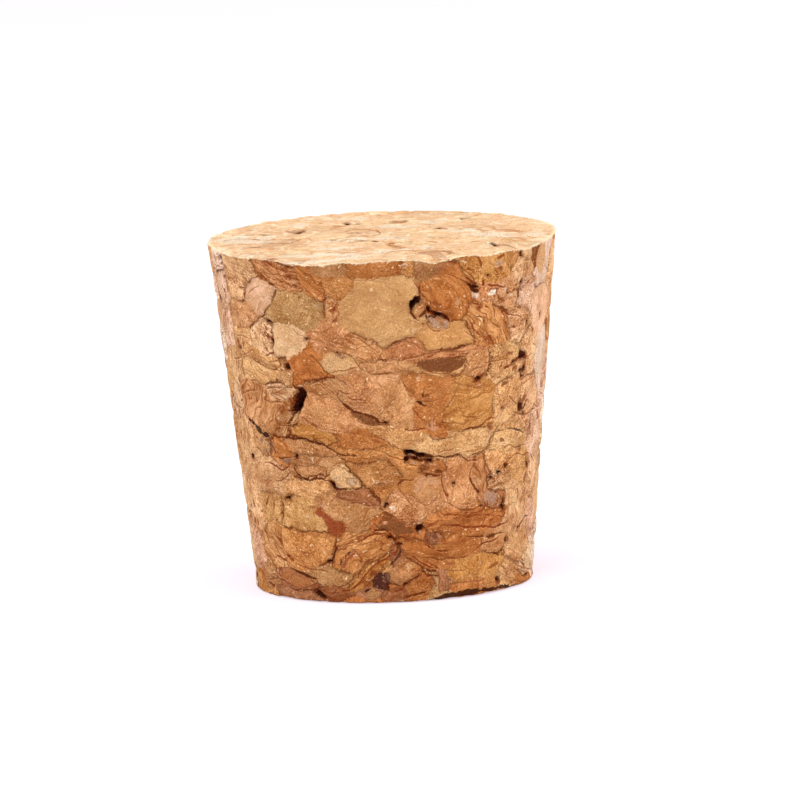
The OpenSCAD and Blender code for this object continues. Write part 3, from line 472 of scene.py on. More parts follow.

# Cracks and the darker seams: colour, width, then depth and face where they aren't 0 and the flank
# the darkest lines carry painted shade in their deep gaps; one along the base is a painted shadow
CRACKS = strokes(
    ((Cork.PITCH_AND_SHADE, 0.27), (8.4, 86.5, 10.9, 88.1, 12.3, 87.5)),
    ((Cork.RIND, 0.12, 0.05), (8.5, 85.7, 8.6, 84.7, 9.1, 83.7, 10.5, 82.3, 11.7, 81.6), (11.4, 82.5, 14.2, 84.4),
     (11.5, 70.2, 11, 68.9, 11.1, 67.8)),
    ((Cork.PITCH_AND_SHADE, 0.22), (14.6, 85.4, 15, 84.4)),
    ((Cork.RIND, 0.18, 0.05), (22.8, 79.9, 21.9, 81.4, 20.2, 82.7, 15.2, 84.1)),
    ((Cork.UMBER, 0.08), (20.8, 78.4, 22.2, 78.9, 22.8, 79.9), (-53.9, 69.1, -46.2, 67.3, -41.7, 67.1),
     (-76.6, 56.1, -74.3, 54.5, -69.2, 53.7), (77.8, 81.2, 76.3, 78.8), (79.9, 76.1, 79.6, 74.1),
     (41.1, 46.8, 47.7, 46.8), (12.4, 12.6, 15.1, 12.7, 17.4, 12, 19.8, 11.7, 22.4, 11.9, 26.1, 11.7),
     (-35.4, 65.7, -35.3, 64.7, -35.9, 63.4), (29.2, 69.1, 26.6, 70.2, 13.3, 70.2)),
    ((Cork.BARK, 0.06), (14.4, 81.7, 14.5, 80.1, 15.6, 78.8, 17.6, 78.2, 19.5, 78.2),
     (13.6, 56.9, 15.8, 56.4, 17.2, 55.6), (-72, 61.4, -69.4, 60.5, -69.6, 59.3),
     (-21.6, 12.2, -17.3, 15.4, -12, 17.5, -8.4, 18.3), (20.2, 8.9, 23.1, 8.4, 29.7, 8),
     (-21, 66.8, -18.3, 67.7, -14.7, 67.8, -9.8, 69.1), (24.4, 62.5, 33.3, 60.5, 36.4, 60.4, 39.1, 60.8, 41.3, 62),
     (29.8, 65.3, 31.9, 66, 35.8, 66.6)),
    ((Cork.BLOOD, 0.08), (16.3, 85.5, 13, 88.5, 11.8, 90.7, 12.1, 92.1),
     (25.8, 93.6, 28.2, 92.9, 30.2, 91.6, 31.9, 89.9), (31.2, 85.1, 33.7, 84.7),
     (43.5, 81.1, 45.1, 81.6, 46.7, 80.7, 52.9, 79.1), (-26, 36.1, -23.5, 37.8), (0.9, 15.5, -1.9, 14.1, -3.3, 13,
      -5.6, 12.3, -8.1, 10.9, -15.5, 5.6, -18, 4.2, -20.9, 3.4, -25, 2.8, -27.7, 2.7),
     (-17.2, 61.9, -15.3, 60.9, -13.6, 61.2), (-34.2, 53.4, -32.3, 53.8, -30.1, 52.4, -27.5, 51.7),
     (13.7, 56.9, 14.7, 56.6, 15.8, 56.4, 16.4, 56, 17.4, 55.5)),
    ((Cork.PLUM, 0.1), (13.9, 83.2, 14.2, 81.9, 15.2, 80.8)),
    ((Cork.BARK, 0.07), (11.7, 85.8, 12.9, 86.4, 12.6, 85.5, 11.4, 84.7), (-68.8, 68.5, -65.9, 68.6, -62.9, 69.2),
     (20.7, 4, 23.2, 4.4, 26.7, 4.5, 29.8, 4.5, 34.7, 4.1, 38.6, 4.2, 41.1, 4.8), (53.2, 4.8, 58.1, 5.3, 72.1, 2.8),
     (55.3, 1.1, 60.5, 1.7, 64.8, 0.8, 71.3, 0.4),
     (2.8, 74, -0.4, 73.7, -1.8, 72.7, -2.8, 71.1, -4, 70, -6.5, 70.2, -7.8, 71, -9.8, 71.6, -10.9, 71.3),
     (3, 74.6, 6.3, 75.7, 9.9, 74.7, 11.6, 73.6, 13.3, 72.9, 16.9, 72.5)),
    ((Cork.PITCH_AND_SHADE, 0.22, 0.15), (10.2, 58.5, 12.1, 57.6), (-59.4, 50.1, -57.5, 49, -55.1, 48),
     (-54.9, 47.7, -52.3, 47.9, -50.2, 47.7)),
    ((Cork.UMBER, 0.12, 0.1), (12.5, 58.5, 13.9, 58.2, 16.1, 58.1)),
    ((Cork.BARK, 0.08, 0.05), (6.8, 62, 8.8, 60.5, 10, 59.1)),
    ((Cork.BLOOD, 0.05), (8.7, 56.6, 11, 53.8, 13.8, 51.9)),
    ((Cork.UMBER, 0.06, 0.05), (23.1, 57.2, 20.1, 54.9, 17.2, 53.3, 16, 52.3)),
    ((Cork.UMBER, 0.08, 0.05), (14.4, 51.9, 15, 50.2),
     (-50.6, 60.2, -49.3, 59.3, -50.3, 57.9, -47.1, 57.5, -42.9, 57.8, -40.4, 57.1),
     (-64.8, 4.1, -58, 5.1, -51.9, 5.2, -48.3, 4.4, -45.2, 3.4, -42.1, 3.2, -36.6, 4.6)),
    ((Cork.PITCH_AND_SHADE, 0.22, 0.1), (-62.8, 51.4, -61.4, 50.7, -59.4, 50.1)),
    ((Cork.PLUM, 0.08), (-50.6, 44.9, -48.8, 43.8, -47.4, 42.3)),
    ((Cork.PITCH_AND_SHADE, 0.1, 0.1), (-46.9, 41.3, -38.9, 41.9, -36.9, 42.7), (-12.4, 3, -11.5, 3.7, -10.4, 4.1)),
    ((Cork.RIND, 0.12, 0.1), (-40.9, 47.7, -39.7, 47.4, -37.6, 47.4), (-46.5, 9.2, -37.1, 7.2, -33.1, 7.1),
     (-8.2, 21.5, -5.8, 21.3, -3.2, 21.5, -1.6, 20.3, -0.4, 18.8, 1.1, 17.8, 2.9, 17.2),
     (59.5, 17.1, 62, 18.3, 65.3, 19.3, 69.7, 19.6),
     (-1.1, 52.5, -3.2, 52.6, -4.9, 54.1, -7, 54.9, -11.7, 55.8, -13.8, 56.7, -17.5, 59.1, -18.4, 60.4, -17.9, 61.9),
     (-36.2, 63.2, -34.6, 62.1, -32.6, 61.8), (-36, 56.2, -37.8, 55.7, -39.2, 55.8),
     (-35.9, 55.8, -37.7, 53.4, -39.7, 51.9, -40.7, 50.7)),
    ((Cork.RIND, 0.1), (-42.1, 43.7, -38.3, 42.8)),
    ((Cork.BARK, 0.05), (-61.9, 51.9, -69.4, 53.3), (68.1, 92.5, 74.9, 89.2),
     (28.8, 64.3, 30.5, 65.5, 32.6, 66.3, 36.7, 66.4), (66.6, 52.4, 71.9, 50.5),
     (-65, 18.7, -59.3, 17.8, -54.6, 16.6, -50.9, 15.3, -47.2, 13.5, -40, 11.1),
     (-23.6, 14.2, -21.6, 15.8, -19.4, 16.8, -16.1, 17.2, -13.2, 18.1), (-1.9, 7.2, -0.4, 5.6, 2, 4.6, 2.8, 5.3),
     (-1.6, 12.7, 4.8, 13.9, 6.4, 13.6), (7.7, 27.7, 9.4, 29.2, 12.7, 28.1, 14.7, 28.2, 16.8, 29.2, 18.1, 30.8),
     (62.1, 26.1, 68.8, 26.4, 76.6, 26.1), (18.3, 9.1, 18.2, 2.2), (-13.9, 77.9, -10.5, 77.4, -7.8, 76.4, -2.2, 72.6),
     (22.9, 65.4, 24.4, 63.1, 25.5, 62.1, 24.8, 60.4, 22.9, 57.6, 19.4, 54.5),
     (28, 77.4, 32.8, 75, 34.1, 73.7, 33.4, 72.8, 33.8, 72)),
    ((Cork.BLOOD, 0.12, 0.1), (-46.6, 78.5, -45.6, 77.2, -43.1, 75.6),
     (20.7, 21.8, 26.2, 21.4, 29.3, 20.6, 37.9, 20.1, 42.1, 19.1, 44.8, 18.9, 51.5, 19.6)),
    ((Cork.RUST, 0.05), (-65.7, 75.8, -63.1, 75.7, -59.6, 76, -55.1, 75.3), (28.4, 81.5, 30.9, 79.7, 33.9, 78.5),
     (33.5, 78.5, 36.2, 77, 37.8, 75.5), (43.6, 79.3, 47.5, 75.8), (36.6, 67.6, 45.7, 67.4),
     (40.3, 51.4, 42.9, 50.8, 44, 52.3), (26.5, 53.3, 29.1, 52.6, 32.2, 52.2, 34.6, 51.6), (54.5, 58.4, 65.1, 60.2),
     (18.1, 42.9, 19.8, 43.3, 22.7, 43.4, 24.6, 43.8), (-8.8, 45.2, -4.2, 44.5, -1.3, 43.6, 0, 42.6, 5, 41.3),
     (-10.5, 42.7, -8.2, 42.3, -3.5, 42), (-19.3, 18.3, -10.5, 21.4, -7.9, 21.7), (29, 42.6, 33.1, 42.6, 39.1, 43),
     (27.4, 27.4, 31.4, 27.2, 36, 28.3)),
    ((Cork.BLOOD, 0.12, 0.05), (-47.3, 71.2, -43.3, 72.1), (-55, 12.5, -48.9, 11)),
    ((Cork.UMBER, 0.05), (-43.3, 72.1, -42.1, 71.4, -41.3, 70.5, -41.9, 69.8, -45.8, 69.5),
     (-44.2, 51.1, -40.9, 50.9, -38.3, 51.5), (-58, 23.9, -54.7, 23.2, -50, 21.5, -45.6, 20.7, -38.3, 19.9)),
    ((Cork.RUST, 0.06), (-62, 69.9, -56.9, 71.2, -54, 72.2, -52.2, 70.9, -48.8, 70.4, -45.8, 69.5),
     (-31.4, 3.2, -28.2, 2.6, -24.1, 2.6, -16.1, 4.4), (3.3, 15.4, 5.8, 15.2, 8.4, 15.3, 16.5, 13.3),
     (1.6, 34.4, 3.1, 33.1, 6.2, 29.6, 7.8, 28.3), (-11.5, 24.5, -10.1, 26.6, -8.4, 28.2),
     (47.4, 41.4, 49.2, 42.1, 51.4, 42.2, 54.7, 41, 57.1, 40.9), (41.1, 2.9, 46.5, 3.1)),
    ((Cork.UMBER, 0.06), (-59.9, 63.7, -58.3, 63.1, -54.8, 63.2, -52.3, 62.5, -49.4, 62.4, -42.9, 63.3, -39.3, 62.8),
     (-48.7, 61.2, -45.8, 61.8, -42.6, 62, -40.9, 62.4), (-64.6, 58.6, -60.9, 59.6, -53.2, 60.7, -51.7, 61.4),
     (25.8, 95.7, 27.7, 95, 29.7, 93.6, 32.2, 91.4), (49.1, 56.6, 52.4, 54.4, 54.6, 53.7),
     (51.4, 51.8, 58.4, 50.2, 62.9, 50.1, 66, 50.6, 69.5, 50.4), (-50, 34.6, -47.4, 34.6, -43, 36.4, -41.3, 37.6),
     (-33.2, 7.1, -34.1, 5.8, -36.6, 4.6), (-2.5, 14.7, -4.7, 14.6, -6.3, 14.2, -8, 13.2, -9.8, 12.6, -11.7, 11.6,
      -13.4, 10.2, -16.5, 8.9, -17.8, 7.2, -19.8, 5.8, -23.2, 4.8, -27.4, 4.9), (6.5, 40.5, 8.5, 39.9, 14.9, 38.9),
     (-17.2, 38.8, -14.9, 38.1, -12.9, 36.9, -10.8, 34.3), (-3.2, 47.7, -0.9, 47, 0.9, 45.7, 5.3, 44.3),
     (-27.7, 72.8, -25.4, 71.2, -22, 67.4, -20.9, 66.8),
     (-14.3, 72.5, -12.3, 71.8, -9.7, 68.9, -7.6, 67.7, -5.6, 66.9, -3.2, 66.7, 2.4, 66.7),
     (-31.6, 61.9, -30.4, 60.8, -30.3, 59.3), (4.7, 65, 7.1, 62.1, 8.9, 60.6, 10.2, 59)),
    ((Cork.BLOOD, 0.06), (-45.8, 60.3, -37.8, 57.9), (-44.8, 58.7, -42.3, 58.2, -40.4, 57.2),
     (56.9, 29.1, 58.7, 26.1), (29.2, 23.6, 32.7, 23.5, 34.3, 23.8, 38.7, 23.1, 43.4, 22.7), (20.7, 25, 27, 24.4)),
    ((Cork.PITCH_AND_SHADE, 0.22, 0.2), (-62.7, 51.7, -59.2, 50.2), (-59.2, 50.2, -53.7, 47.6, -50.3, 48),
     (5.7, 44, 8.2, 43.8, 10.5, 42.9, 16.5, 41.7)),
    ((Cork.BLOOD, 0.08, 0.1), (-50.2, 48.2, -48, 47.7, -45.2, 47.4, -40.4, 47.7),
     (37, 90.1, 38.5, 89.6, 40.6, 89.4, 42.6, 88.8, 44.6, 88.5), (-1.8, 2.9, 2.1, 3.6, 3.4, 4.4, 4.3, 5.4, 7.4, 6.7,
      9.2, 7.2, 9.8, 8.2, 9.5, 8.9, 10.5, 9.2, 11.9, 8.7, 13.3, 7.7, 16, 7.2),
     (13.3, 67.1, 16.9, 66.2, 22.8, 65.4, 24, 64.3, 25.6, 63.7), (-46.6, 79, -43.4, 75.9)),
    ((Cork.RIND, 0.1, 0.1), (25.8, 92.6, 28.8, 91.1), (-47.3, 41.4, -43.8, 41.4, -40.5, 41.8, -38, 42.2, -36.8, 42.7),
     (-39.4, 39.6, -38.5, 37.7, -37.3, 36.6, -32.9, 35.4, -30.5, 35.8, -27.7, 35.9, -25.4, 35.7, -23, 35, -21.8, 33.4,
      -13.8, 33.5)),
    ((Cork.PITCH_AND_SHADE, 0.18, 0.2), (28.8, 91.1, 30, 90.3, 31.1, 89.1, 32.1, 88.6, 33.5, 88.6),
     (5.2, 41.2, 6.2, 42.3, 8.5, 42, 12.3, 40.6)),
    ((Cork.BLOOD, 0.1), (35.9, 84.1, 38.3, 83.2), (5.5, 50.8, 7.9, 49.9, 13.4, 50.3)),
    ((Cork.UMBER, 0.15, 0.1), (41.5, 86.5, 42.5, 85.5, 43.8, 84.9, 42.9, 84.3),
     (12.4, 58.6, 13.9, 58.2, 15.1, 58.1, 16.3, 58.2)),
    ((Cork.RUST, 0.1), (36, 80.7, 38.1, 79.8, 40.3, 78.2, 42.9, 76.9)),
    ((Cork.BLOOD, 0.07), (30.5, 79.7, 32.2, 77.5, 34.5, 75.7), (-42.3, 44.1, -40, 43.3, -36.2, 43.6),
     (-55, 39.4, -51.5, 39.4, -48.4, 38.8, -45.9, 37.9, -43.4, 38.5, -41.4, 39.4),
     (-22, 16.5, -17.3, 17.6, -13.8, 18.1, -9.6, 19.9, -7.1, 20.4, -3.9, 20.3, -2.6, 20.6),
     (2.4, 34.4, 4.8, 35.7, 8, 35.7, 8.8, 36.3),
     (50.7, 37.8, 53, 38.7, 56.4, 39.1, 60.1, 38.4, 64.4, 38.3, 68.4, 37.2, 72.4, 35.5),
     (-15.3, 60.5, -13.2, 59.6, -11.6, 59.4, -9.1, 59.5)),
    ((Cork.BLOOD, 0.12), (34.8, 91.6, 35.1, 89.9)),
    ((Cork.BLOOD, 0.15, 0.1), (45.9, 64.9, 48.9, 65.3, 50.9, 66.1, 55.7, 67.2, 60.3, 66.2)),
    ((Cork.UMBER, 0.07), (28.4, 61.8, 33.2, 60.5, 36.1, 60.3), (40.6, 46.4, 40.8, 45.1, 40.5, 43.7),
     (-32, 3.9, -29.5, 4.6, -25.2, 4.9, -23, 4.5, -17.7, 6.9, -15.7, 8.6), (1.1, 17.8, 1.3, 16.4, 0.7, 15.4),
     (-16.1, 29.3, -13.2, 29.4, -8.3, 28.4), (33.2, 38.5, 32, 37.2, 31.3, 35.8, 31.1, 34.7),
     (5.6, 69.9, 7.4, 70.8, 14, 71.8, 26.1, 72.6, 27, 73.1, 28.9, 72.6),
     (22.9, 65.6, 24.3, 66.5, 27.4, 67.4, 29.2, 69.1), (17, 48.4, 19.5, 47.3, 21.7, 47.1, 23.7, 47.4)),
    ((Cork.UMBER, 0.12, 0.05), (45.2, 59.6, 46.5, 60.4, 48.8, 60.6)),
    ((Cork.RIND, 0.15, 0.2), (61.1, 54.4, 60, 52.8, 58.5, 51.6)),
    ((Cork.BLOOD, 0.08, 0.05), (42.9, 50.8, 39.8, 51.1, 37.9, 50.5, 34.6, 49, 31.4, 49.2, 28.7, 48.9),
     (6.4, 13.6, 8.2, 13.2, 11.1, 11.3, 15.6, 9.8), (21.3, 31.4, 21.7, 30.2, 21.3, 29),
     (12.4, 11.6, 14.2, 11.2, 18, 9.3), (6, 50.6, 8, 50.3, 10.5, 50.4)),
    ((Cork.PLUM, 0.1, 0.05), (49.4, 46.9, 53.3, 46.6, 61, 44.8)),
    ((Cork.BARK, 0.08), (62.6, 70.1, 65.4, 69.3, 67.5, 68.2), (10.4, 38.8, 12.4, 38.3, 14.4, 38.7)),
    ((Cork.RUST, 0.04), (55.6, 66.2, 62.9, 67.4),
     (-0.7, 14.9, -3.1, 14.8, -5.5, 13.6, -7.6, 12.2, -9.7, 11.4, -14.1, 8.1)),
    ((Cork.UMBER, 0.07, 0.05), (-21.2, 31.2, -18.8, 30.4, -11.8, 29.7, -9.2, 28.8)),
    ((Cork.BLOOD, 0.15, 0.05), (-47.6, 13.1, -45.6, 12.6, -44.2, 11.5)),
    ((Cork.RUST, 0.07), (-42.2, 10.7, -38.7, 9.8, -34.7, 9.4, -31.4, 9.5, -26.8, 9.1)),
    ((Cork.RIND, 0.08, 0.1), (-31.7, 10.4, -26.6, 12.2, -24.7, 13.8, -23.8, 15.3, -22.2, 16.7),
     (-4.7, 8.3, -3.7, 7.2, -3.4, 5.4, -2.8, 4.1, -3.7, 2.8), (16.5, 41.7, 18.5, 41.8, 21, 41.4, 24.6, 41.4),
     (20.6, 41.3, 23, 41.6, 27.4, 41.7)),
    ((Cork.PLUM, 0.05), (-60.3, 5.4, -51.2, 5.3)),
    ((Cork.RIND, 0.07, 0.05), (-49.8, 3.5, -42.8, 2.6, -38.4, 3.4, -31.9, 3.2)),
    ((Cork.PLUM, 0.22, 0.1), (-21.9, 11.6, -21.1, 12.7, -19.2, 14, -17.3, 15.1, -15.2, 15.7)),
    ((Cork.RUST, 0.08), (4.9, 17.7, 6.5, 18.2, 9.1, 18.3, 12.1, 17.4, 14.5, 15.9, 16.7, 14.9)),
    ((Cork.RIND, 0.1, 0.05), (3.4, 0.8, 4.7, 1.5, 12.8, 2.9)),
    ((Cork.PLUM, 0.1, 0.1), (2.5, 16.1, 2, 14.2, -2.1, 10.9)),
    ((Cork.PITCH_AND_SHADE, 0.15, 0.15), (12.1, 41.5, 15.9, 40.5)),
    ((Cork.RIND, 0.08), (16.9, 37.9, 19.2, 37.5, 19.6, 36.5), (12.3, 7.4, 15.1, 7.5, 18.2, 7.1)),
    ((Cork.BLOOD, 0.07, 0.05), (19.6, 36.5, 19.7, 33.8, 21.7, 29.4, 21.2, 28.2),
     (27.4, 41.6, 28.8, 40.6, 30.6, 39.8, 33.2, 39.7, 35, 39.2),
     (26.1, 11.7, 29.1, 11.7, 31.6, 12.2, 34.9, 13.9, 40.3, 15.1, 44, 15.2, 47.7, 16.2)),
    ((Cork.RIND, 0.07, 0.1), (-17.7, 33.5, -15.3, 33.5, -13.7, 33.2, -11.6, 33.8, -10.8, 34.3)),
    ((Cork.PLUM, 0.12, 0.05), (-16.8, 43.5, -12.6, 43.2)),
    ((Cork.RIND, 0.08, 0.05), (31.5, 41.3, 33.1, 41.6, 34.7, 41.6, 36.4, 42.1), (12.5, 16.8, 17.4, 14.7, 21.9, 14.1)),
    ((Cork.RIND, 0.15, 0.1), (31.1, 34.7, 34, 31.2, 35.8, 29.9), (40.1, 16.7, 44.7, 16.8)),
    ((Cork.UMBER, 0.08, 0.1), (20.7, 28.5, 23.1, 27.8, 27.6, 25.9, 31, 25.5, 33.7, 25.5, 36.6, 26)),
    ((Cork.RIND, 0.06), (29.4, 17.9, 36.5, 17.2, 51, 16.8)),
    ((Cork.RUST, 0.15), (42, 7.9, 47.2, 8.7)),
    ((Cork.MAUVE, 0.08), (51.3, 5.5, 54.5, 6.8, 57.8, 7.1, 62.7, 5.7, 69.4, 4.5, 79.4, 2.3)),
    ((Cork.MAUVE, 0.06), (50.3, 3.8, 54.8, 4.3, 60.2, 4.4, 67.9, 2.9)),
    ((Cork.UMBER, 0.04), (-11.5, 53.3, -9, 52.4, -5.1, 51.9, -1.5, 52.1)),
    ((Cork.BARK, 0.04), (19.4, 72.1, 30.5, 71.5, 35.1, 72)),
    # painted shadow: the dark gap under the broken base edge, right of the front
    ((Cork.PITCH_AND_SHADE, 0.36, 0.3), (62, 0.1, 46, 1, 38, 1.1, 30, 0.9, 14, 0.05)),
    ((Cork.UMBER, 0.1, 0.05), (16.5, 37.9, 18.2, 37.3, 20, 37.6)),
    ((Cork.RIND, 0.07, 0.2),
     (-45, 47.6, -38, 47.3, -33.5, 47.7, -30, 46.7, -25.7, 46.2, -22.3, 44.9, -19.8, 43.5, -16.4, 43.2, -12.8, 43.3)),
    ((Cork.RUST, 0.04, 0.05), (-34.6, 54, -27, 51.1, -13.5, 49.7, -5, 48.2, 0, 46.4, 5.5, 43.6)),
    ((Cork.RUST, 0.06, 0.05), (16, 49, 18.6, 47.4, 22.7, 46.8)),
    ((Cork.BARK, 0.05, 0.05), (9.6, 93.6, 13.2, 88.6, 16, 86), (12.2, 99.2, 12.4, 97, 11, 95.4, 10.4, 93.8)),
    ((Cork.RIND, 0.13, 0.1), (12.8, 60.8, 12.3, 60.1, 12.4, 59.2), (13.1, 59.6, 14, 60, 15.1, 60.2),
     (11.7, 57.5, 12.8, 57.1, 13.8, 56.9)),
    ((Cork.BLOOD, 0.08), (16.3, 58.2, 17, 58.4, 17.9, 58.5)),
)

# Growth lines and curls, in the same way
VEINS = strokes(
    ((Cork.UMBER, 0.15, 0, Face.TOP), (-7.5, 1.7, -6.9, 1.5, -6.5, 1.6, -6.1, 1.4)),
    ((Cork.RUST, 0.12, 0, Face.TOP), (-8.6, 0.1, -8, 0.4, -7.3, 0.4, -6.6, 0.1),
     (-6.2, -1.3, -5.4, -1.6, -4.8, -1.2)),
    ((Cork.CLAY, 0.15, 0, Face.TOP), (-2, -0.3, -1.3, -0.1, -0.4, -0.4), (-5.9, 0.3, -5.2, -0.4, -4.5, 0.1, -3.8, -1),
     (-0.4, 8.2, 0, 7.9, 0.6, 8)),
    ((Cork.RUST, 0.15, 0, Face.TOP), (-2, 1.7, -1.6, 2.3, -0.8, 2.4, -0.2, 1.7, -0.1, 0.6, -0.5, 0.1),
     (-1.9, 1.1, -1.3, 1.4, -0.7, 0.9), (-1.4, -2.1, -1, -2, -0.2, -2.4),
     (-3.1, -6.1, -2.4, -5.8, -1.7, -6.1, -1.2, -5.7)),
    ((Cork.UMBER, 0.22, 0, Face.TOP), (0.8, 5.2, 1.1, 5.4, 1.4, 4.8)),
    ((Cork.CLAY, 0.22, 0, Face.TOP), (3, 1.8, 3.5, 1.5, 4.3, 1.5)),
    ((Cork.RIND, 0.22, 0, Face.TOP), (4.4, 5.6, 4.8, 5.4)),
    ((Cork.CLAY, 0.12, 0, Face.TOP), (5.1, 1.5, 5.7, 0.6, 6.6, 0.6, 7.5, -0.5),
     (2.7, -1.4, 3.8, -1.9, 4.5, -1.6, 5.5, -2.2), (4, -3.8, 4.9, -3.5, 5.8, -3.8, 6.9, -3.6),
     (0, -6.6, 0.8, -6.3, 1.6, -6.2, 2.3, -6.6), (1.2, -3, 2.2, -2.8, 3.1, -3.1), (-2.6, 6, -3.1, 5.8, -3.5, 6.1),
     (1.7, 3.5, 2.4, 3.6, 2.9, 3.2)),
    ((Cork.RUST, 0.22, 0, Face.TOP), (0.3, -3.8, 0.5, -4.4, 0.9, -4.6)),
    ((Cork.BARK, 0.05), (-33.4, 79.3, -31.2, 77.9, -29.2, 77.4), (-27.9, 62.9, -24.7, 63.6, -22.6, 62.5, -20.8, 61.1),
     (-63.3, 98.1, -56.3, 97.1, -47.6, 96.3), (-62.1, 97, -58.9, 95.3, -55.1, 94.1, -52.7, 94),
     (-24, 88.6, -21, 87.3, -19, 87.2)),
    ((Cork.RUST, 0.05), (-28.2, 63.8, -24.3, 64.2, -20, 61.6, -18.7, 59.9), (-42.8, 99.8, -39.9, 99.7, -36.4, 98.9),
     (-52, 88.9, -45.8, 91.6), (-48, 99, -43, 97, -39, 94.8), (-58, 17.6, -54, 15.6, -50, 13, -47, 11.6),
     (-60, 15, -52, 10.8), (54, 4.2, 58, 5.4, 62, 4.4, 66, 4.8)),
    ((Cork.RUST, 0.15), (-19.7, 76.5, -15.5, 75.5, -14.2, 75.6)),
    ((Cork.BARK, 0.04), (-8.6, 75.3, -4.9, 73.4, -3.4, 72.3), (-60, 98.4, -54, 96.9, -49, 94.4),
     (-61, 95.6, -56, 94.2, -52, 91.6)),
    ((Cork.UMBER, 0.08), (-43.9, 96.2, -40.7, 95.2, -37.4, 94.9), (-38.6, 90.4, -36.7, 90.2, -34.4, 90.9),
     (-41.6, 94.3, -39, 93.6, -37, 93.4), (-34.6, 92.9, -32, 91.9, -29.6, 91.3)),
    ((Cork.BLOOD, 0.15), (-36.6, 97.1, -28.5, 96.6), (-38.7, 95.5, -36.4, 95.4, -33.9, 94.8, -28.5, 94)),
    ((Cork.RIND, 0.12), (-33.7, 92.7, -31.6, 92.3, -28.8, 91.4)),
    ((Cork.RUST, 0.06), (-47.5, 99.5, -45.2, 97.7, -43.6, 95.3, -38.1, 93.4),
     (-12, 94.6, -8, 93.8, -4, 93.8, -1, 95)),
    ((Cork.BLOOD, 0.07), (-42, 98.6, -37, 96.9, -32, 96.4), (41, 7.4, 45, 8.3)),
    ((Cork.BLOOD, 0.08), (-38.6, 95.6, -31.4, 94.1), (-36, 97.8, -33, 97.4)),
    ((Cork.BLOOD, 0.06), (20.6, 95, 27, 91.9)),
    ((Cork.RUST, 0.04), (22, 96, 26, 94.2, 30, 92.8, 32, 91.6), (25.4, 56.8, 27, 54, 30, 52.6, 36, 52.2)),
    ((Cork.BLOOD, 0.1), (-48.4, 13.6, -45.4, 11.4)),
    ((Cork.MAUVE, 0.05), (52, 6.6, 55.6, 7.9, 58.6, 7.2, 62, 5.6)),
)
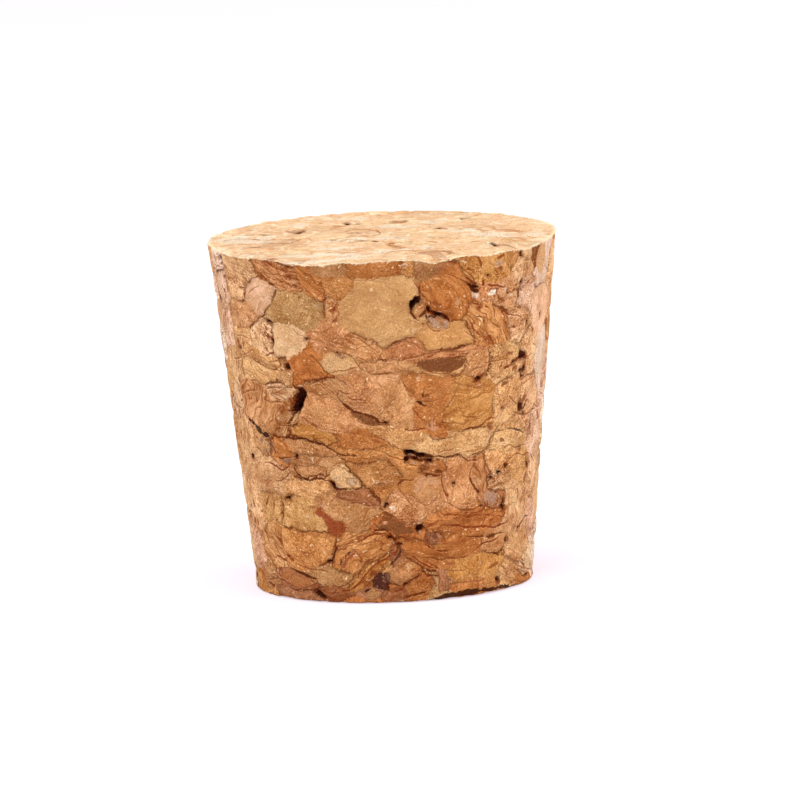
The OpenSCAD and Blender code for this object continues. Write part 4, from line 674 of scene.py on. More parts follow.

# Stains, chips, dust and painted highlights: colour, strength, then face and fade; a later row lies over an earlier
# one
PATCHES = patches(
    ((Cork.WALNUT, 1), (29.7, 69.2, 27.6, 67.3, 24.5, 66.3, 22.9, 65.4, 20.5, 65.9, 14.7, 66.6, 12.9, 67.1, 11, 67.8,
      10.6, 68.9, 11, 69.7, 13.3, 70.3, 26.6, 70.3)),
    ((Cork.WALNUT, 0.9), (-15.9, 58.2, -13.8, 56.9, -11.7, 56, -9.2, 55.3, -6.7, 55.1, -2.9, 52.5, -1.5, 52.2,
      -4, 51.6, -6.9, 51.9, -9.4, 52.6, -11.5, 53.5, -13.2, 54.8, -14.9, 56.5), (9.2, 19.7, 8.3, 18.4, 5.8, 17.9,
      3.3, 17.8, 0.9, 18.5, -2.7, 21.1, -7.8, 21.5, -2.9, 26.7, -0.4, 26.1, 1.9, 24.3, 8.1, 21.8)),
    ((Cork.CREAM, 0.6), (-24, 70.2, -20.8, 72.4, -18.9, 73.2, -17.1, 72.9, -13, 71, -11.7, 69.8, -12.9, 68.6,
      -16.1, 67.9, -19, 67.8, -22.1, 67.2, -23.4, 68.9)),
    ((Cork.STRAW, 0.6, Face.FLANK, 0.5), (-32.5, 57.6, -30.5, 58.9, -26.8, 59.2, -22.3, 57.6, -19.4, 55.9,
      -17.3, 54.2, -16, 52.7, -19.8, 52.1, -24.4, 52.3, -29.1, 53.3, -31.9, 54.7)),
    ((Cork.AMBER, 0.3, Face.FLANK, 0.2), (-5.5, 56.5, 0.7, 0.2, -15)),
    ((Cork.OCHRE, 0.6), (-5.6, 72.3, 0.5, 0.1, -5)),
    ((Cork.BARK, 0.3), (18.3, 62.6, 0.12, 0.5)),
    ((Cork.SIENNA, 0.9, Face.FLANK, 0.12), (-32.6, 25.8, -29.1, 28.4, -27.7, 28.1, -27, 26.8, -24.3, 25.5,
      -22.8, 24.5, -19.5, 24.3, -17.9, 23, -18, 21.8, -19.7, 20.6, -20, 19.4, -23.4, 19.2, -25.9, 19.3, -27.3, 20.5,
      -26.8, 22.2, -28.7, 24.5, -30.4, 25.2, -31.8, 24.9)),
    ((Cork.WALNUT, 0.7), (-46.3, 41.1, -43.9, 41.1, -37.8, 41.9, -38.2, 41, -40.6, 40.1, -43.1, 40.1)),
    ((Cork.CREAM, 0.9, Face.FLANK, 0.05), (-23.7, 37.6, -21.1, 39.3, -17.2, 39.1, -13.5, 37.1, -11.4, 35, -11.7, 34.1,
      -14.6, 33.7, -18.5, 33.6, -20.4, 34.9, -22.3, 35.8)),
    ((Cork.RUST, 0.3, Face.FLANK, 0.12), (-2.1, 33.1, -3.3, 31.4, -6.4, 29.7, -14.9, 30.6, -19.5, 31.5, -21.8, 32.9,
      -10.3, 33.8, -6.9, 34.4, -3.1, 34.3)),
    ((Cork.UMBER, 0.5), (5.8, 18.9, 0.4, 0.2)),
    ((Cork.ROSE, 0.5, Face.FLANK, 0.3), (13.6, 33.3, 0.85, 0.8)),
    ((Cork.BARK, 0.9), (10.1, 42, 0.5, 0.12, -12)),
    ((Cork.PEBBLE, 0.9), (10.5, 40.4, 0.7, 0.05, -10)),
    ((Cork.PLUM, 0.7), (16.3, 19.2, 0.26, 0.22)),
    ((Cork.BARK, 0.4), (18.5, 20.4, 0.2, 0.2), (-46.7, 74.3, 0.16, 0.3), (-16.4, 64.4, 0.3, 0.14, -50)),
    ((Cork.PEBBLE, 0.8, Face.FLANK, 0.2), (41.5, 28.2, 0.6, 0.5)),
    ((Cork.CREAM, 0.8), (51.6, 29.1, 55, 28.9, 59.1, 25.3, 56.5, 23, 53.4, 25.3)),
    ((Cork.CREAM, 0.9),
     (27.6, 26.7, 30.1, 26.4, 33, 26.6, 35.8, 27.8, 36.1, 28.4, 36.6, 27.4, 33.7, 26.3, 31, 25.9, 28.3, 26.1),
     (-50.6, 61.7, -46, 62.7, -42, 63.2, -44, 62.3, -48.5, 61.5)),
    ((Cork.ROSE, 0.7), (31, 40.9, 0.5, 0.1, 10)),
    ((Cork.CREAM, 0.8), (33.1, 41.9, 0.5, 0.06, 10),
     (-47.8, 60.1, -44.8, 58.8, -42.6, 58.3, -45.5, 57.8, -47.9, 58.3)),
    ((Cork.CREAM, 0.7), (35.7, 33.6, 0.12, 0.3, 20)),
    ((Cork.SIENNA, 0.8), (-22.4, 11.4, -21.8, 12.6, -20.2, 13.8, -17.9, 15.1, -16.2, 15.8, -13.8, 15.9, -14.2, 14.3,
      -16.5, 13.4, -19.5, 12.6, -21.3, 11.3), (-61.9, 72.4, 0.2, 0.16)),
    ((Cork.PLUM, 0.9), (-4, 10.7, -3.3, 9.7, -4.6, 8.4, -4.7, 7.2, -3.5, 5.7, -3.2, 4.2, -4.3, 3.9, -6.1, 4.7,
      -9.1, 5.5, -8.5, 6.9, -5.6, 10.2)),
    ((Cork.UMBER, 0.8),
     (2, 14.1, 1.2, 12.6, -2.6, 10.1, -3.4, 9.8, -5.8, 9.5, -7.1, 8.7, -4.9, 11.3, -3.3, 11.8, 0.8, 13.8)),
    ((Cork.OLIVE, 0.7), (-5.4, 3.1, -7.2, 1.4, -11.3, 1.3, -12.1, 2.6, -10.3, 4.3, -7.4, 4.8)),
    ((Cork.SHELL, 0.3, Face.FLANK, 0.3), (2.2, 9.1, 0.9, 0.9)),
    ((Cork.CREAM, 0.6, Face.FLANK, 0.12), (5.9, 11, 0.4, 0.25)),
    ((Cork.ORANGE, 0.7),
     (4.1, 17.2, 6.5, 18.1, 9.3, 18.2, 12.1, 17.3, 14.5, 15.8, 16.9, 14.8, 16.9, 13.5, 8.4, 15.4, 4.1, 15.6)),
    ((Cork.BLOOD, 0.8), (-1.3, 19.5, 0.2, 0.2, -40)),
    ((Cork.BRICK, 0.6), (-54.3, 6.3, -48.3, 9.1, -44.4, 8.2, -37.1, 7.2, -33.5, 6.9, -34.4, 5.7, -36.8, 4.7,
      -42.1, 3.4, -45.4, 3.7, -49.4, 4.9, -52.5, 5.4)),
    ((Cork.BARK, 0.5, Face.FLANK, 0.12), (-48.4, 3.8, 0.7, 0.12, -20)),
    ((Cork.BARK, 0.5), (-55.3, 2.9, 0.16, 0.2), (66, 80, 0.2, 0.28)),
    ((Cork.STRAW, 0.3, Face.FLANK, 0.3), (43.5, 4.6, 0.8, 0.7)),
    ((Cork.OLIVE, 0.5), (17, 16.3, 0.5, 0.16, -18)),
    ((Cork.MAUVE, 0.6), (53, 6, 0.3, 0.12, 20)),
    ((Cork.CLAY, 0.7),
     (13.2, 86.7, 14, 85.6, 14, 84.5, 12.5, 83.2, 11.1, 82.4, 9.9, 83.4, 9.5, 84.6, 10.4, 85.6, 11.7, 86.4),
     (61.3, 88.9, 0.3, 0.22)),
    ((Cork.PEBBLE, 1), (13.9, 83.4, 15.7, 83.2, 17.4, 82.4, 19.8, 82.4, 21.8, 81.4, 22.6, 80, 21.7, 78.7, 19.5, 78.4,
      17.2, 78.6, 15.3, 79.9, 14.4, 81.7)),
    ((Cork.ASH, 0.9, Face.FLANK, 0.05),
     (-55.6, 47.2, -50.4, 47.9, -49.4, 46.9, -48.5, 44.3, -47.4, 42.2, -50.6, 42.8, -54.2, 44.1, -56.5, 45.4)),
    ((Cork.ASH, 0.5, Face.FLANK, 0.12), (-56.1, 43.7, -52.4, 44.5, -49.3, 44, -48.6, 42.5, -51.9, 41.9, -55.8, 42.4)),
    ((Cork.ASH, 0.9), (-46.7, 41.2, -39, 41.7, -40.5, 40.4, -42.9, 39.7, -45.2, 40.1)),
    ((Cork.MAUVE, 0.6, Face.FLANK, 0.12), (-42.8, 49.7, 0.4, 0.22, -15)),
    ((Cork.BARK, 0.5, Face.FLANK, 0.2), (12.5, 58.7, 0.55, 0.4, 10)),
    ((Cork.BARK, 0.4, Face.FLANK, 0.12), (8.4, 61.3, 0.4, 0.22, -50)),
    ((Cork.BARK, 0.3, Face.FLANK, 0.2), (18.9, 60.4, 0.35, 0.5, 10)),
    ((Cork.SAND, 0.9, Face.FLANK, 0.12), (66, 95, 0.6, 1)),
    ((Cork.MAUVE, 0.5), (-62, 69.8, -54.2, 72.1, -52.1, 70.9, -48.8, 70.4, -45.7, 69.5, -42.7, 69.3, -40.5, 68.5,
      -41.6, 67.3, -45.2, 66.9, -53.7, 69.2)),
    ((Cork.BLOOD, 0.6, Face.FLANK, 0.12), (-42.5, 55.9, 0.3, 0.26)),
    ((Cork.OLIVE, 0.5, Face.FLANK, 0.2), (-39.1, 65.4, 0.4, 0.4)),
    ((Cork.OLIVE, 0.4, Face.FLANK, 0.2), (-55.2, 59.4, 0.7, 0.3)),
    ((Cork.CREAM, 0.9), (10.9, 84.4, 0.14, 0.1, 30), (-34.1, 7.6, 0.3, 0.05, -12)),
    ((Cork.PLUM, 0.6), (-52, 47.2, 0.42, 0.3, -20)),
    ((Cork.MAUVE, 0.6), (-42.8, 50.1, 0.4, 0.2), (-43.4, 49.7, 0.22, 0.2), (20.6, 98.2, 0.8, 0.32, -4),
     (55, 6.4, 0.3, 0.18)),
    ((Cork.CHALK_AND_HIGHLIGHT, 1), (30.8, 88.3, 32.3, 88.3, 33.7, 87.6, 33.6, 86.7, 32.4, 86.3, 31.2, 86.9),
     (-58.2, 49, 0.06, 0.12, 30)),
    ((Cork.CHALK_AND_HIGHLIGHT, 0.9, Face.FLANK, 0.05), (39.3, 87.1, 0.34, 0.26)),
    ((Cork.PEBBLE, 0.7), (41.4, 96.2, 0.4, 0.22)),
    ((Cork.BARK, 0.6), (43.2, 85.4, 0.4, 0.3, -30), (58, 78.6, 0.14, 0.16)),
    ((Cork.ROSE, 0.7), (35.8, 85.5, 0.9, 0.08, 4)),
    ((Cork.CHALK_AND_HIGHLIGHT, 0.5), (69.7, 73.8, 0.2, 0.16), (39.9, 99.4, 0.12, 0.1), (69.8, 49.3, 0.12, 0.16),
     (50.8, 27.4, 0.05, 0.25)),
    ((Cork.WALNUT, 0.8), (56.6, 53.6, 0.34, 0.32)),
    ((Cork.SIENNA, 0.6), (40.1, 48.8, 0.28, 0.26)),
    ((Cork.ROSE, 0.8), (32.8, 61.5, 0.6, 0.08, -4)),
    ((Cork.SIENNA, 0.8), (34.3, 63.2, 0.6, 0.16, 28), (53, 63.9, 0.14, 0.22)),
    ((Cork.SIENNA, 0.7), (56.2, 66.7, 0.4, 0.2)),
    ((Cork.CHALK_AND_HIGHLIGHT, 0.7), (10, 78.8, 0.2, 0.06), (13.4, 77.8, 0.14, 0.08, -20), (-35, 25.3, 0.16, 0.1, -20),
     (-30.3, 41.5, 0.08, 0.12), (-2.7, 35.3, 0.6, 0.06, 3), (20.4, 35.3, 0.14, 0.1), (46, 25.4, 0.06, 0.16),
     (11.1, 64.8, 0.12, 0.1), (20.4, 35.4, 0.1, 0.1)),
    ((Cork.CLAY, 0.3, Face.TOP, 0.3), (-4.6, 0.5, -3.8, -1.8, -4, -3.9, -5.1, -3.6, -5.8, -1.3),
     (-3.2, 3.3, 0.9, 0.9)),
    ((Cork.ORANGE, 0.8, Face.TOP), (0.5, -4, 0.35, 0.4), (0.5, -3.6, 0.25, 0.6, 10)),
    ((Cork.CLAY, 0.4, Face.TOP, 0.2), (1.6, -5.9, 1.2, 0.35)),
    ((Cork.MAUVE, 0.6, Face.TOP, 0.2), (-4.6, 2.7, 0.8, 0.8), (1, 5, 0.7, 0.8)),
    ((Cork.CHALK_AND_HIGHLIGHT, 0.9, Face.TOP, 0.5), (-7.2, -0.5, 1.5, 0.8)),
    ((Cork.CHALK_AND_HIGHLIGHT, 0.9, Face.TOP, 0.2), (-7.8, 1.4, 0.9, 0.5)),
    ((Cork.CHALK_AND_HIGHLIGHT, 0.8, Face.TOP, 0.5), (-2.4, -4.3, 1.6, 0.7)),
    ((Cork.CHALK_AND_HIGHLIGHT, 0.8, Face.TOP, 0.3), (-1.2, -7.1, 1.6, 0.5)),
    ((Cork.CHALK_AND_HIGHLIGHT, 0.7, Face.TOP, 0.5), (5.8, -1, 1.8, 0.9, -20), (0.5, -1.3, 1.4, 0.7)),
    ((Cork.CHALK_AND_HIGHLIGHT, 0.5, Face.TOP, 0.5), (2.9, 4.9, 1.6, 1)),
    ((Cork.CHALK_AND_HIGHLIGHT, 0.7, Face.TOP, 0.3), (-3.1, -1.6, 1, 0.7)),
    ((Cork.CHALK_AND_HIGHLIGHT, 0.6, Face.TOP, 0.3), (8.2, -1.6, 0.7, 0.9, -30)),
    ((Cork.CHALK_AND_HIGHLIGHT, 0.6, Face.TOP), (-8, 0.2, 1.3, 0.7), (-1.6, 7, 0.9, 0.6), (-4.6, 5, 0.6, 0.9, 10),
     (-7, -5.2, 0.9, 0.35, -35)),
    ((Cork.CHALK_AND_HIGHLIGHT, 0.6), (-50.1, 53.7, 0.16, 0.07), (42.2, 87.2, 0.16, 0.08), (-27.8, 28.3, 0.14, 0.08, -40),
     (-2.8, 23.5, 0.1, 0.1)),
    ((Cork.CHALK_AND_HIGHLIGHT, 0.7, Face.TOP), (-6.3, 0.6, 0.7, 0.5, 20), (0.9, 3.3, 1.3, 0.5, -20), (2.3, -5, 0.5, 0.6)),
    ((Cork.CHALK_AND_HIGHLIGHT, 0.9, Face.TOP), (-1.3, -0.9, 0.8, 0.45, -20)),
    ((Cork.CHALK_AND_HIGHLIGHT, 0.9), (17.9, 79.6, 0.22, 0.08, -10), (-57.5, 49.1, 0.08, 0.12, 30), (-43.1, 52.7, 0.09, 0.1),
     (0.5, 27.7, 0.22, 0.12)),
    ((Cork.CHALK_AND_HIGHLIGHT, 0.8, Face.TOP), (4.3, 0.9, 1.3, 0.55), (6, -1.4, 1.5, 0.4, -30), (-3.4, -6.4, 2.4, 0.5, -6),
     (0.4, -5.9, 1.4, 0.4, 6), (-3, -7.9, 2.6, 0.35, -4)),
    ((Cork.CHALK_AND_HIGHLIGHT, 0.8), (15.7, 80.5, 0.12, 0.08, 30), (20.2, 81.7, 0.14, 0.06, -30)),
    ((Cork.CLAY, 0.4, Face.TOP), (-6, -3.2, 1.4, 0.3, -35), (-8.4, -1.5, 0.5, 0.35)),
    ((Cork.ORANGE, 0.3, Face.TOP), (-4, -4.7, 1.2, 0.3, -20)),
    ((Cork.ORANGE, 0.5, Face.TOP), (0.8, -4.7, 0.5, 0.35, -20)),
    ((Cork.CLAY, 0.5, Face.TOP), (6.6, 0.2, 1.5, 0.4, -32), (7, -2.5, 0.9, 0.35, -25), (3.2, 1.9, 0.4, 0.35)),
    ((Cork.CLAY, 0.5), (50.6, 78, 0.3, 0.16)),
    ((Cork.CLAY, 0.6, Face.TOP), (8.2, -2.3, 0.4, 0.3)),
    ((Cork.ORANGE, 0.6, Face.TOP), (-2.3, 4.1, 0.4, 0.5)),
    ((Cork.CLAY, 0.3, Face.TOP), (-3.3, 2.6, 0.8, 0.4), (-0.9, 2.2, 0.5, 1.3, 40), (-1.8, 8.8, 1, 0.4),
     (-6, -2, 0.8, 0.4, -10), (-1.2, -5.1, 1.2, 0.35)),
    ((Cork.AMBER, 0.3, Face.TOP), (1.5, 8.4, 1.2, 0.9)),
    ((Cork.UMBER, 0.7), (5.6, 64.8, 0.16, 0.07, -20)),
    ((Cork.PEBBLE, 0.6), (-52.6, 44.7, 0.26, 0.14, -40)),
    ((Cork.BLOOD, 0.9), (-64.8, 40.3, 0.1, 0.12), (12.6, 80.4, 0.12, 0.13)),
    ((Cork.BINDER, 0.8), (14.6, 51.3, 0.08, 0.24)),
    ((Cork.BLOOD, 0.7), (-54.5, 30.4, 0.12, 0.08)),
    ((Cork.BLOOD, 0.5), (-65, 17.4, 0.12, 0.22)),
    ((Cork.CREAM, 0.7), (9.1, 58.2, 0.1, 0.22), (-66.6, 44, 0.4, 0.1, 20), (-63.2, 42.5, 0.3, 0.12, -30),
     (-53.9, 49.7, 0.4, 0.06, -35), (-62.7, 69.1, 0.07, 0.3), (40.7, 64.3, 0.05, 0.35, -25)),
    ((Cork.RUST, 0.9), (26.5, 99.2, 0.22, 0.08, -5)),
    ((Cork.BLOOD, 0.6), (7.6, 98.6, 0.3, 0.08, 8)),
    ((Cork.ASH, 0.7), (18.9, 81.1, 0.18, 0.08, -20)),
    ((Cork.ROSE, 0.9), (13.5, 86.8, 0.14, 0.06, -50)),
    ((Cork.CHALK_AND_HIGHLIGHT, 0.8), (9.8, 78.8, 0.22, 0.08, 10), (45.1, 87.6, 0.12, 0.16), (47.8, 85.6, 0.16, 0.1),
     (-20.5, 34.1, 0.2, 0.07, -40), (-15.4, 14.1, 0.1, 0.08), (-15.6, 72.1, 0.14, 0.08), (-43.1, 52.8, 0.08, 0.12),
     (7, 98.3, 0.22, 0.09, 20)),
    ((Cork.CREAM, 0.8), (13.1, 77.8, 0.3, 0.1, -30), (12.5, 81.5, 0.12, 0.07), (-40.5, 49.9, 0.35, 0.05, 35),
     (11.8, 24, 0.16, 0.3, -25), (-5.9, 20.9, 0.6, 0.06, 3), (-49.8, 53.5, 0.16, 0.07, -10)),
    ((Cork.CREAM, 0.6), (16.9, 76.2, 0.14, 0.1), (-35.7, 43.7, 0.1, 0.2, -30), (74.4, 77.4, 0.06, 0.6, -8),
     (65.1, 59.8, 0.2, 0.08, 30), (49.4, 5.3, 0.1, 0.3, -15), (61, 14.9, 0.06, 0.3), (48.2, 18.2, 0.3, 0.1, 10)),
    ((Cork.SHELL, 0.6), (25.4, 86, 0.2, 0.24, 30), (-38.4, 54.2, 0.2, 0.34, -30)),
    ((Cork.CHALK_AND_HIGHLIGHT, 1), (54.6, 62.9, 0.08, 0.2), (-27.7, 11.4, 0.12, 0.08)),
    ((Cork.CHALK_AND_HIGHLIGHT, 0.4), (-15.2, 35.6, 0.25, 0.2, -30)),
    ((Cork.PEBBLE, 0.8), (-49, 31.8, 0.07, 0.3, 10)),
    ((Cork.CHALK_AND_HIGHLIGHT, 0.6), (8.6, 22.3, 0.3, 0.06, -8), (42.8, 34.9, 0.1, 0.14), (26.6, 98.2, 0.2, 0.07),
     (-44.2, 53, 0.1, 0.12)),
    ((Cork.CREAM, 0.7), (17.7, 26.6, 0.6, 0.06, 40), (-11.1, 19.7, 0.5, 0.05, 28), (23.4, 5.9, 0.3, 0.04, -38),
     (31.9, 42.3, 0.4, 0.07, 8)),
    ((Cork.PEBBLE, 0.9), (-4.2, 6.5, 0.05, 0.25, -15)),
    ((Cork.PEBBLE, 0.8), (-4.6, 3.3, 0.25, 0.05, -20)),
    ((Cork.CREAM, 0.5), (37.6, 2.6, 0.06, 0.3, -10)),
    ((Cork.CHALK_AND_HIGHLIGHT, 0.5), (48.7, 1.8, 0.14, 0.1)),
    ((Cork.ROSE, 0.5), (16.1, 50.6, 0.3, 0.24, -30)),
    ((Cork.CREAM, 0.6), (38.3, 45.3, 0.36, 0.5)),
    ((Cork.SHELL, 0.8), (31, 42.9, 0.6, 0.08, 4)),
    ((Cork.CREAM, 0.4), (10.2, 45.6, 0.3, 0.2)),
    ((Cork.CREAM, 0.6), (17.4, 46.4, 0.5, 0.24)),
    ((Cork.CREAM, 0.5), (36.6, 47.2, 0.4, 0.24), (5.8, 10.6, 0.3, 0.22)),
    ((Cork.SHELL, 0.5), (14.6, 31.8, 0.4, 0.3)),
)


@dataclass
class GranuleField:
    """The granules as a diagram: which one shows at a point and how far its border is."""

    granules: tuple[Granule, ...]
    seed: int = 17

    def __post_init__(self) -> None:
        """Gathers the granules' places, metrics, colours and habits as arrays."""
        rng = np.random.default_rng(self.seed)
        places = [g.place() for g in self.granules]
        self.centres = np.array([p[0] for p in places])
        self.scales = np.array([p[1] / p[2][:, None] for p in places])
        self.layers = np.array([p[3] for p in places])
        count = len(self.granules)
        self.shifts = rng.uniform(-40, 40, (count, 3))
        self.levels = rng.uniform(0.0, 1.0, count)
        shade = rng.normal(0, 0.035, (count, 1)) + rng.normal(0, 0.012, (count, 3))
        base = np.array([linear(g.cork.value)[:3] for g in self.granules])
        self.tints = base * (1 + shade)
        self.habits = np.array([g.habit.value for g in self.granules])
        metric = np.einsum("nki,nkj->nij", self.scales, self.scales)
        towards = np.einsum("nij,nj->ni", metric, self.centres)
        self.terms = np.stack(
            (
                metric[:, 0, 0], metric[:, 1, 1], metric[:, 2, 2],
                2 * metric[:, 0, 1], 2 * metric[:, 0, 2], 2 * metric[:, 1, 2],
                -2 * towards[:, 0], -2 * towards[:, 1], -2 * towards[:, 2],
                np.einsum("ni,ni->n", towards, self.centres),
            )
        )  # fmt: skip

    def nearest(self, points: np.ndarray) -> tuple[np.ndarray, np.ndarray]:
        """Finds the two granules nearest each point, by their own metrics.

        Args:
            points: Places in millimetres, one a row.

        Returns:
            The lower and the higher index of the two, for each point.
        """
        first = np.empty((len(points), 2), dtype=np.int64)
        for start in range(0, len(points), 8192):
            x, y, z = points[start : start + 8192].T
            rows = np.stack((x * x, y * y, z * z, x * y, x * z, y * z, x, y, z, np.ones_like(x)), axis=1)
            first[start : start + 8192] = np.argpartition(rows @ self.terms, 1, axis=1)[:, :2]
        first.sort(axis=1)
        return first[:, 0], first[:, 1]

    def border(self, points: np.ndarray, one: np.ndarray, other: np.ndarray, out: np.ndarray) -> np.ndarray:
        """Signed distance to the border between two granules.

        Args:
            points: Places in millimetres.
            one: The granule on the positive side, for each point.
            other: The granule on the negative side.
            out: The surface's outward direction at each point.

        Returns:
            Millimetres to the border along the surface.
        """
        slopes, values = [], []
        for which in (one, other):
            scale = self.scales[which]
            local = np.einsum("nki,ni->nk", scale, points - self.centres[which])
            values.append(np.einsum("nk,nk->n", local, local))
            slopes.append(2 * np.einsum("nki,nk->ni", scale, local))
        slope = slopes[1] - slopes[0]
        slope -= np.einsum("ni,ni->n", slope, out)[:, None] * out
        return np.clip((values[1] - values[0]) / np.maximum(np.linalg.norm(slope, axis=1), 1e-6), -2, 2)

    def local(self, points: np.ndarray, which: np.ndarray) -> np.ndarray:
        """Places in a granule's own directions: across its growth layers, along them and inwards."""
        return np.einsum("nki,ni->nk", self.layers[which], points - self.centres[which]) + self.shifts[which]


def filler(seed: int = 5) -> tuple[Granule, ...]:
    """Lays the granules of the back, the top and the base, which follow a rule.

    Args:
        seed: Seed of the chance in it.

    Returns:
        The granules.
    """
    rng = random.Random(seed)
    corks = (
        Cork.TAN, Cork.HONEY, Cork.SAND, Cork.BLUSH, Cork.AMBER, Cork.OCHRE, Cork.CLAY, Cork.STRAW,
        Cork.ORANGE, Cork.BRICK, Cork.OLIVE, Cork.ROSE, Cork.CREAM, Cork.DRAB, Cork.BARK, Cork.UMBER,
    )  # fmt: skip
    shares = (14, 12, 11, 10, 8, 8, 7, 7, 5, 5, 5, 6, 4, 4, 2, 1)
    # the two sides hold more pale granules
    # painted sheen: the granules at the two grazing sides are mostly of lighter corks, as if the light glanced off
    # them
    sheen_corks = (Cork.EDGE_SHEEN, Cork.ROSE, Cork.CREAM, Cork.SHELL, Cork.SAND, Cork.STRAW)
    sheen_shares = (7, 5, 5, 4, 3, 2)
    sheen_to = 107
    habits = (Habit.SANDY, Habit.LAYERED, Habit.SPECKLED, Habit.SMOOTH, Habit.RINGED, Habit.STREAKED)
    laid: list[Granule] = []

    def lay(across: float, up: float, face: Face, tilt: float, grain: float) -> None:
        """Lays one granule of a chance size, colour and habit."""
        half_width = rng.uniform(0.7, 1.7)
        half_height = half_width * rng.uniform(0.4, 0.95)
        side = face is Face.FLANK and min(across, 360 - across) < sheen_to
        cork = rng.choices(*((sheen_corks, sheen_shares) if side else (corks, shares)))[0]
        habit = rng.choices(habits, (8, 6, 5, 4, 2, 2))[0]
        laid.append(Granule(across, up, half_width, half_height, tilt, cork, habit, grain, face))

    courses, back = 13, (81, 279)
    for course in range(courses):
        up = (course + 0.5) / courses * 100
        radius = TAPER.radius(TAPER.height * up / 100)
        across = back[0] + rng.uniform(0, 8)
        while across < back[1]:
            tilt = rng.gauss(0, 22)
            lay(across, up + rng.uniform(-3, 3), Face.FLANK, tilt, tilt + rng.gauss(0, 15))
            across += math.degrees(rng.uniform(1.5, 2.9) / radius)
    step = 2.0
    for face, radius in ((Face.TOP, 9.1), (Face.BASE, 7.1)):
        rows = int(2 * radius / step) + 1
        for row in range(rows):
            y = (row - (rows - 1) / 2) * step * 0.87
            for column in range(rows + 1):
                x = (column - rows / 2 + 0.5 * (row % 2)) * step
                x, y_at = x + rng.uniform(-0.6, 0.6), y + rng.uniform(-0.6, 0.6)
                if math.hypot(x, y_at) < radius:
                    turn = rng.uniform(0, 180)
                    lay(x, y_at, face, turn, turn + rng.gauss(0, 15))
    return tuple(laid)


def ripple(points: np.ndarray, length: float, shift: float) -> np.ndarray:
    """Smooth chance vectors over the points, about -1 to 1.

    Args:
        points: Places in millimetres.
        length: Millimetres from one swell to the next.
        shift: Moves the pattern, so that two ripples differ.

    Returns:
        One vector a point.
    """
    scaled = points / length + shift
    return np.array([noise.noise_vector(Vector(p)) for p in scaled.tolist()])


def taken(items: bpy.types.bpy_prop_collection, name: str, width: int = 1, kind: type = float) -> np.ndarray:
    """Takes one value or vector of every vertex, corner or face of a mesh.

    Args:
        items: The mesh's vertices, corners or faces.
        name: The property.
        width: How many numbers each has.
        kind: The numbers' type.

    Returns:
        The values, with one row for each vector.
    """
    values = np.empty(len(items) * width, dtype=kind)
    items.foreach_get(name, values)
    return values.reshape(-1, width) if width > 1 else values


def round_axis(points: np.ndarray) -> tuple[np.ndarray, np.ndarray]:
    """Gives each point's distance from the plug's axis and its degrees right of the front."""
    x, y = points[:, 0], points[:, 1]
    return np.hypot(x, y), np.degrees(np.arctan2(x, -y))


def smooth_step(low: float, high: float, value: np.ndarray) -> np.ndarray:
    """Rises smoothly from 0 at low to 1 at high."""
    share = np.clip((value - low) / (high - low), 0, 1)
    return share * share * (3 - 2 * share)


@dataclass
class Lines:
    """Drawn lines on the surface, as short straight runs that a point can measure itself against."""

    strokes: tuple[Stroke, ...]

    def __post_init__(self) -> None:
        """Splits every stroke into runs on the surface."""
        rows: list[tuple[np.ndarray, np.ndarray, np.ndarray, float, float, float, float]] = []
        tints: list[tuple[float, float, float]] = []
        for stroke in self.strokes:
            path = self.smoothed(stroke.path)
            points = [TAPER.spot(stroke.face, a, u) for a, u in path]
            lengths = [0.0]
            for (start, _), (end, _) in zip(points, points[1:]):
                lengths.append(lengths[-1] + float(np.linalg.norm(end - start)))
            for i, ((start, axes), (end, _)) in enumerate(zip(points, points[1:])):
                rows.append((start, end, axes[2], lengths[i], lengths[-1], stroke.width, stroke.depth))
                tints.append(linear(stroke.cork.value)[:3])
        self.starts = np.array([r[0] for r in rows])
        self.ends = np.array([r[1] for r in rows])
        run = self.ends - self.starts
        self.spans = np.linalg.norm(run, axis=1)
        self.ways = run / self.spans[:, None]
        sides = np.cross(self.ways, np.array([r[2] for r in rows]))
        self.sides = sides / np.linalg.norm(sides, axis=1)[:, None]
        self.befores, self.totals, self.widths, self.depths = np.array([r[3:] for r in rows]).T
        self.tints = np.array(tints)

    @staticmethod
    def smoothed(path: Path) -> list[np.ndarray]:
        """Rounds a path through its points, with three more between each two.

        Args:
            path: The points that it goes through.

        Returns:
            The rounded path's points.
        """
        knots = [np.array(path[0])] + [np.array(p) for p in path] + [np.array(path[-1])]
        rounded = []
        for before, start, end, after in zip(knots, knots[1:], knots[2:], knots[3:]):
            for t in (0.0, 0.25, 0.5, 0.75):
                bend = (2 * start) + (end - before) * t
                bend += (2 * before - 5 * start + 4 * end - after) * t**2
                bend += (3 * start - before - 3 * end + after) * t**3
                rounded.append(bend / 2)
        return rounded + [knots[-1]]

    def nearest(self, points: np.ndarray) -> np.ndarray:
        """Finds the run nearest each point, or -1 where none is within half a millimetre."""
        found = np.full(len(points), -1)
        for start in range(0, len(points), 4096):
            part = points[start : start + 4096]
            along = np.clip(part @ self.ways.T - np.einsum("ni,ni->n", self.starts, self.ways), 0, self.spans)
            reach = np.zeros_like(along)
            for axis in range(3):
                reach += (part[:, axis : axis + 1] - self.starts[:, axis] - along * self.ways[:, axis]) ** 2
            best = reach.argmin(axis=1)
            close = reach[np.arange(len(part)), best] < 0.25
            found[start : start + 4096] = np.where(close, best, -1)
        return found

    def offset(self, points: np.ndarray, run: np.ndarray) -> np.ndarray:
        """Signed millimetres from each point to its run."""
        return np.where(run < 0, 1.0, np.einsum("ni,ni->n", points - self.starts[run], self.sides[run]))

    def breadth(self, points: np.ndarray, run: np.ndarray) -> np.ndarray:
        """Half width of the line abreast of each point, which thins out to its ends."""
        along = np.einsum("ni,ni->n", points - self.starts[run], self.ways[run]) + self.befores[run]
        share = np.clip(along / self.totals[run], 0, 1)
        beyond = np.maximum(-along, along - self.totals[run])
        thin = np.minimum(1, np.minimum(share, 1 - share) * 6 + 0.25)
        return np.where((run < 0) | (beyond > 0.02), 0.0, self.widths[run] * thin / 2)


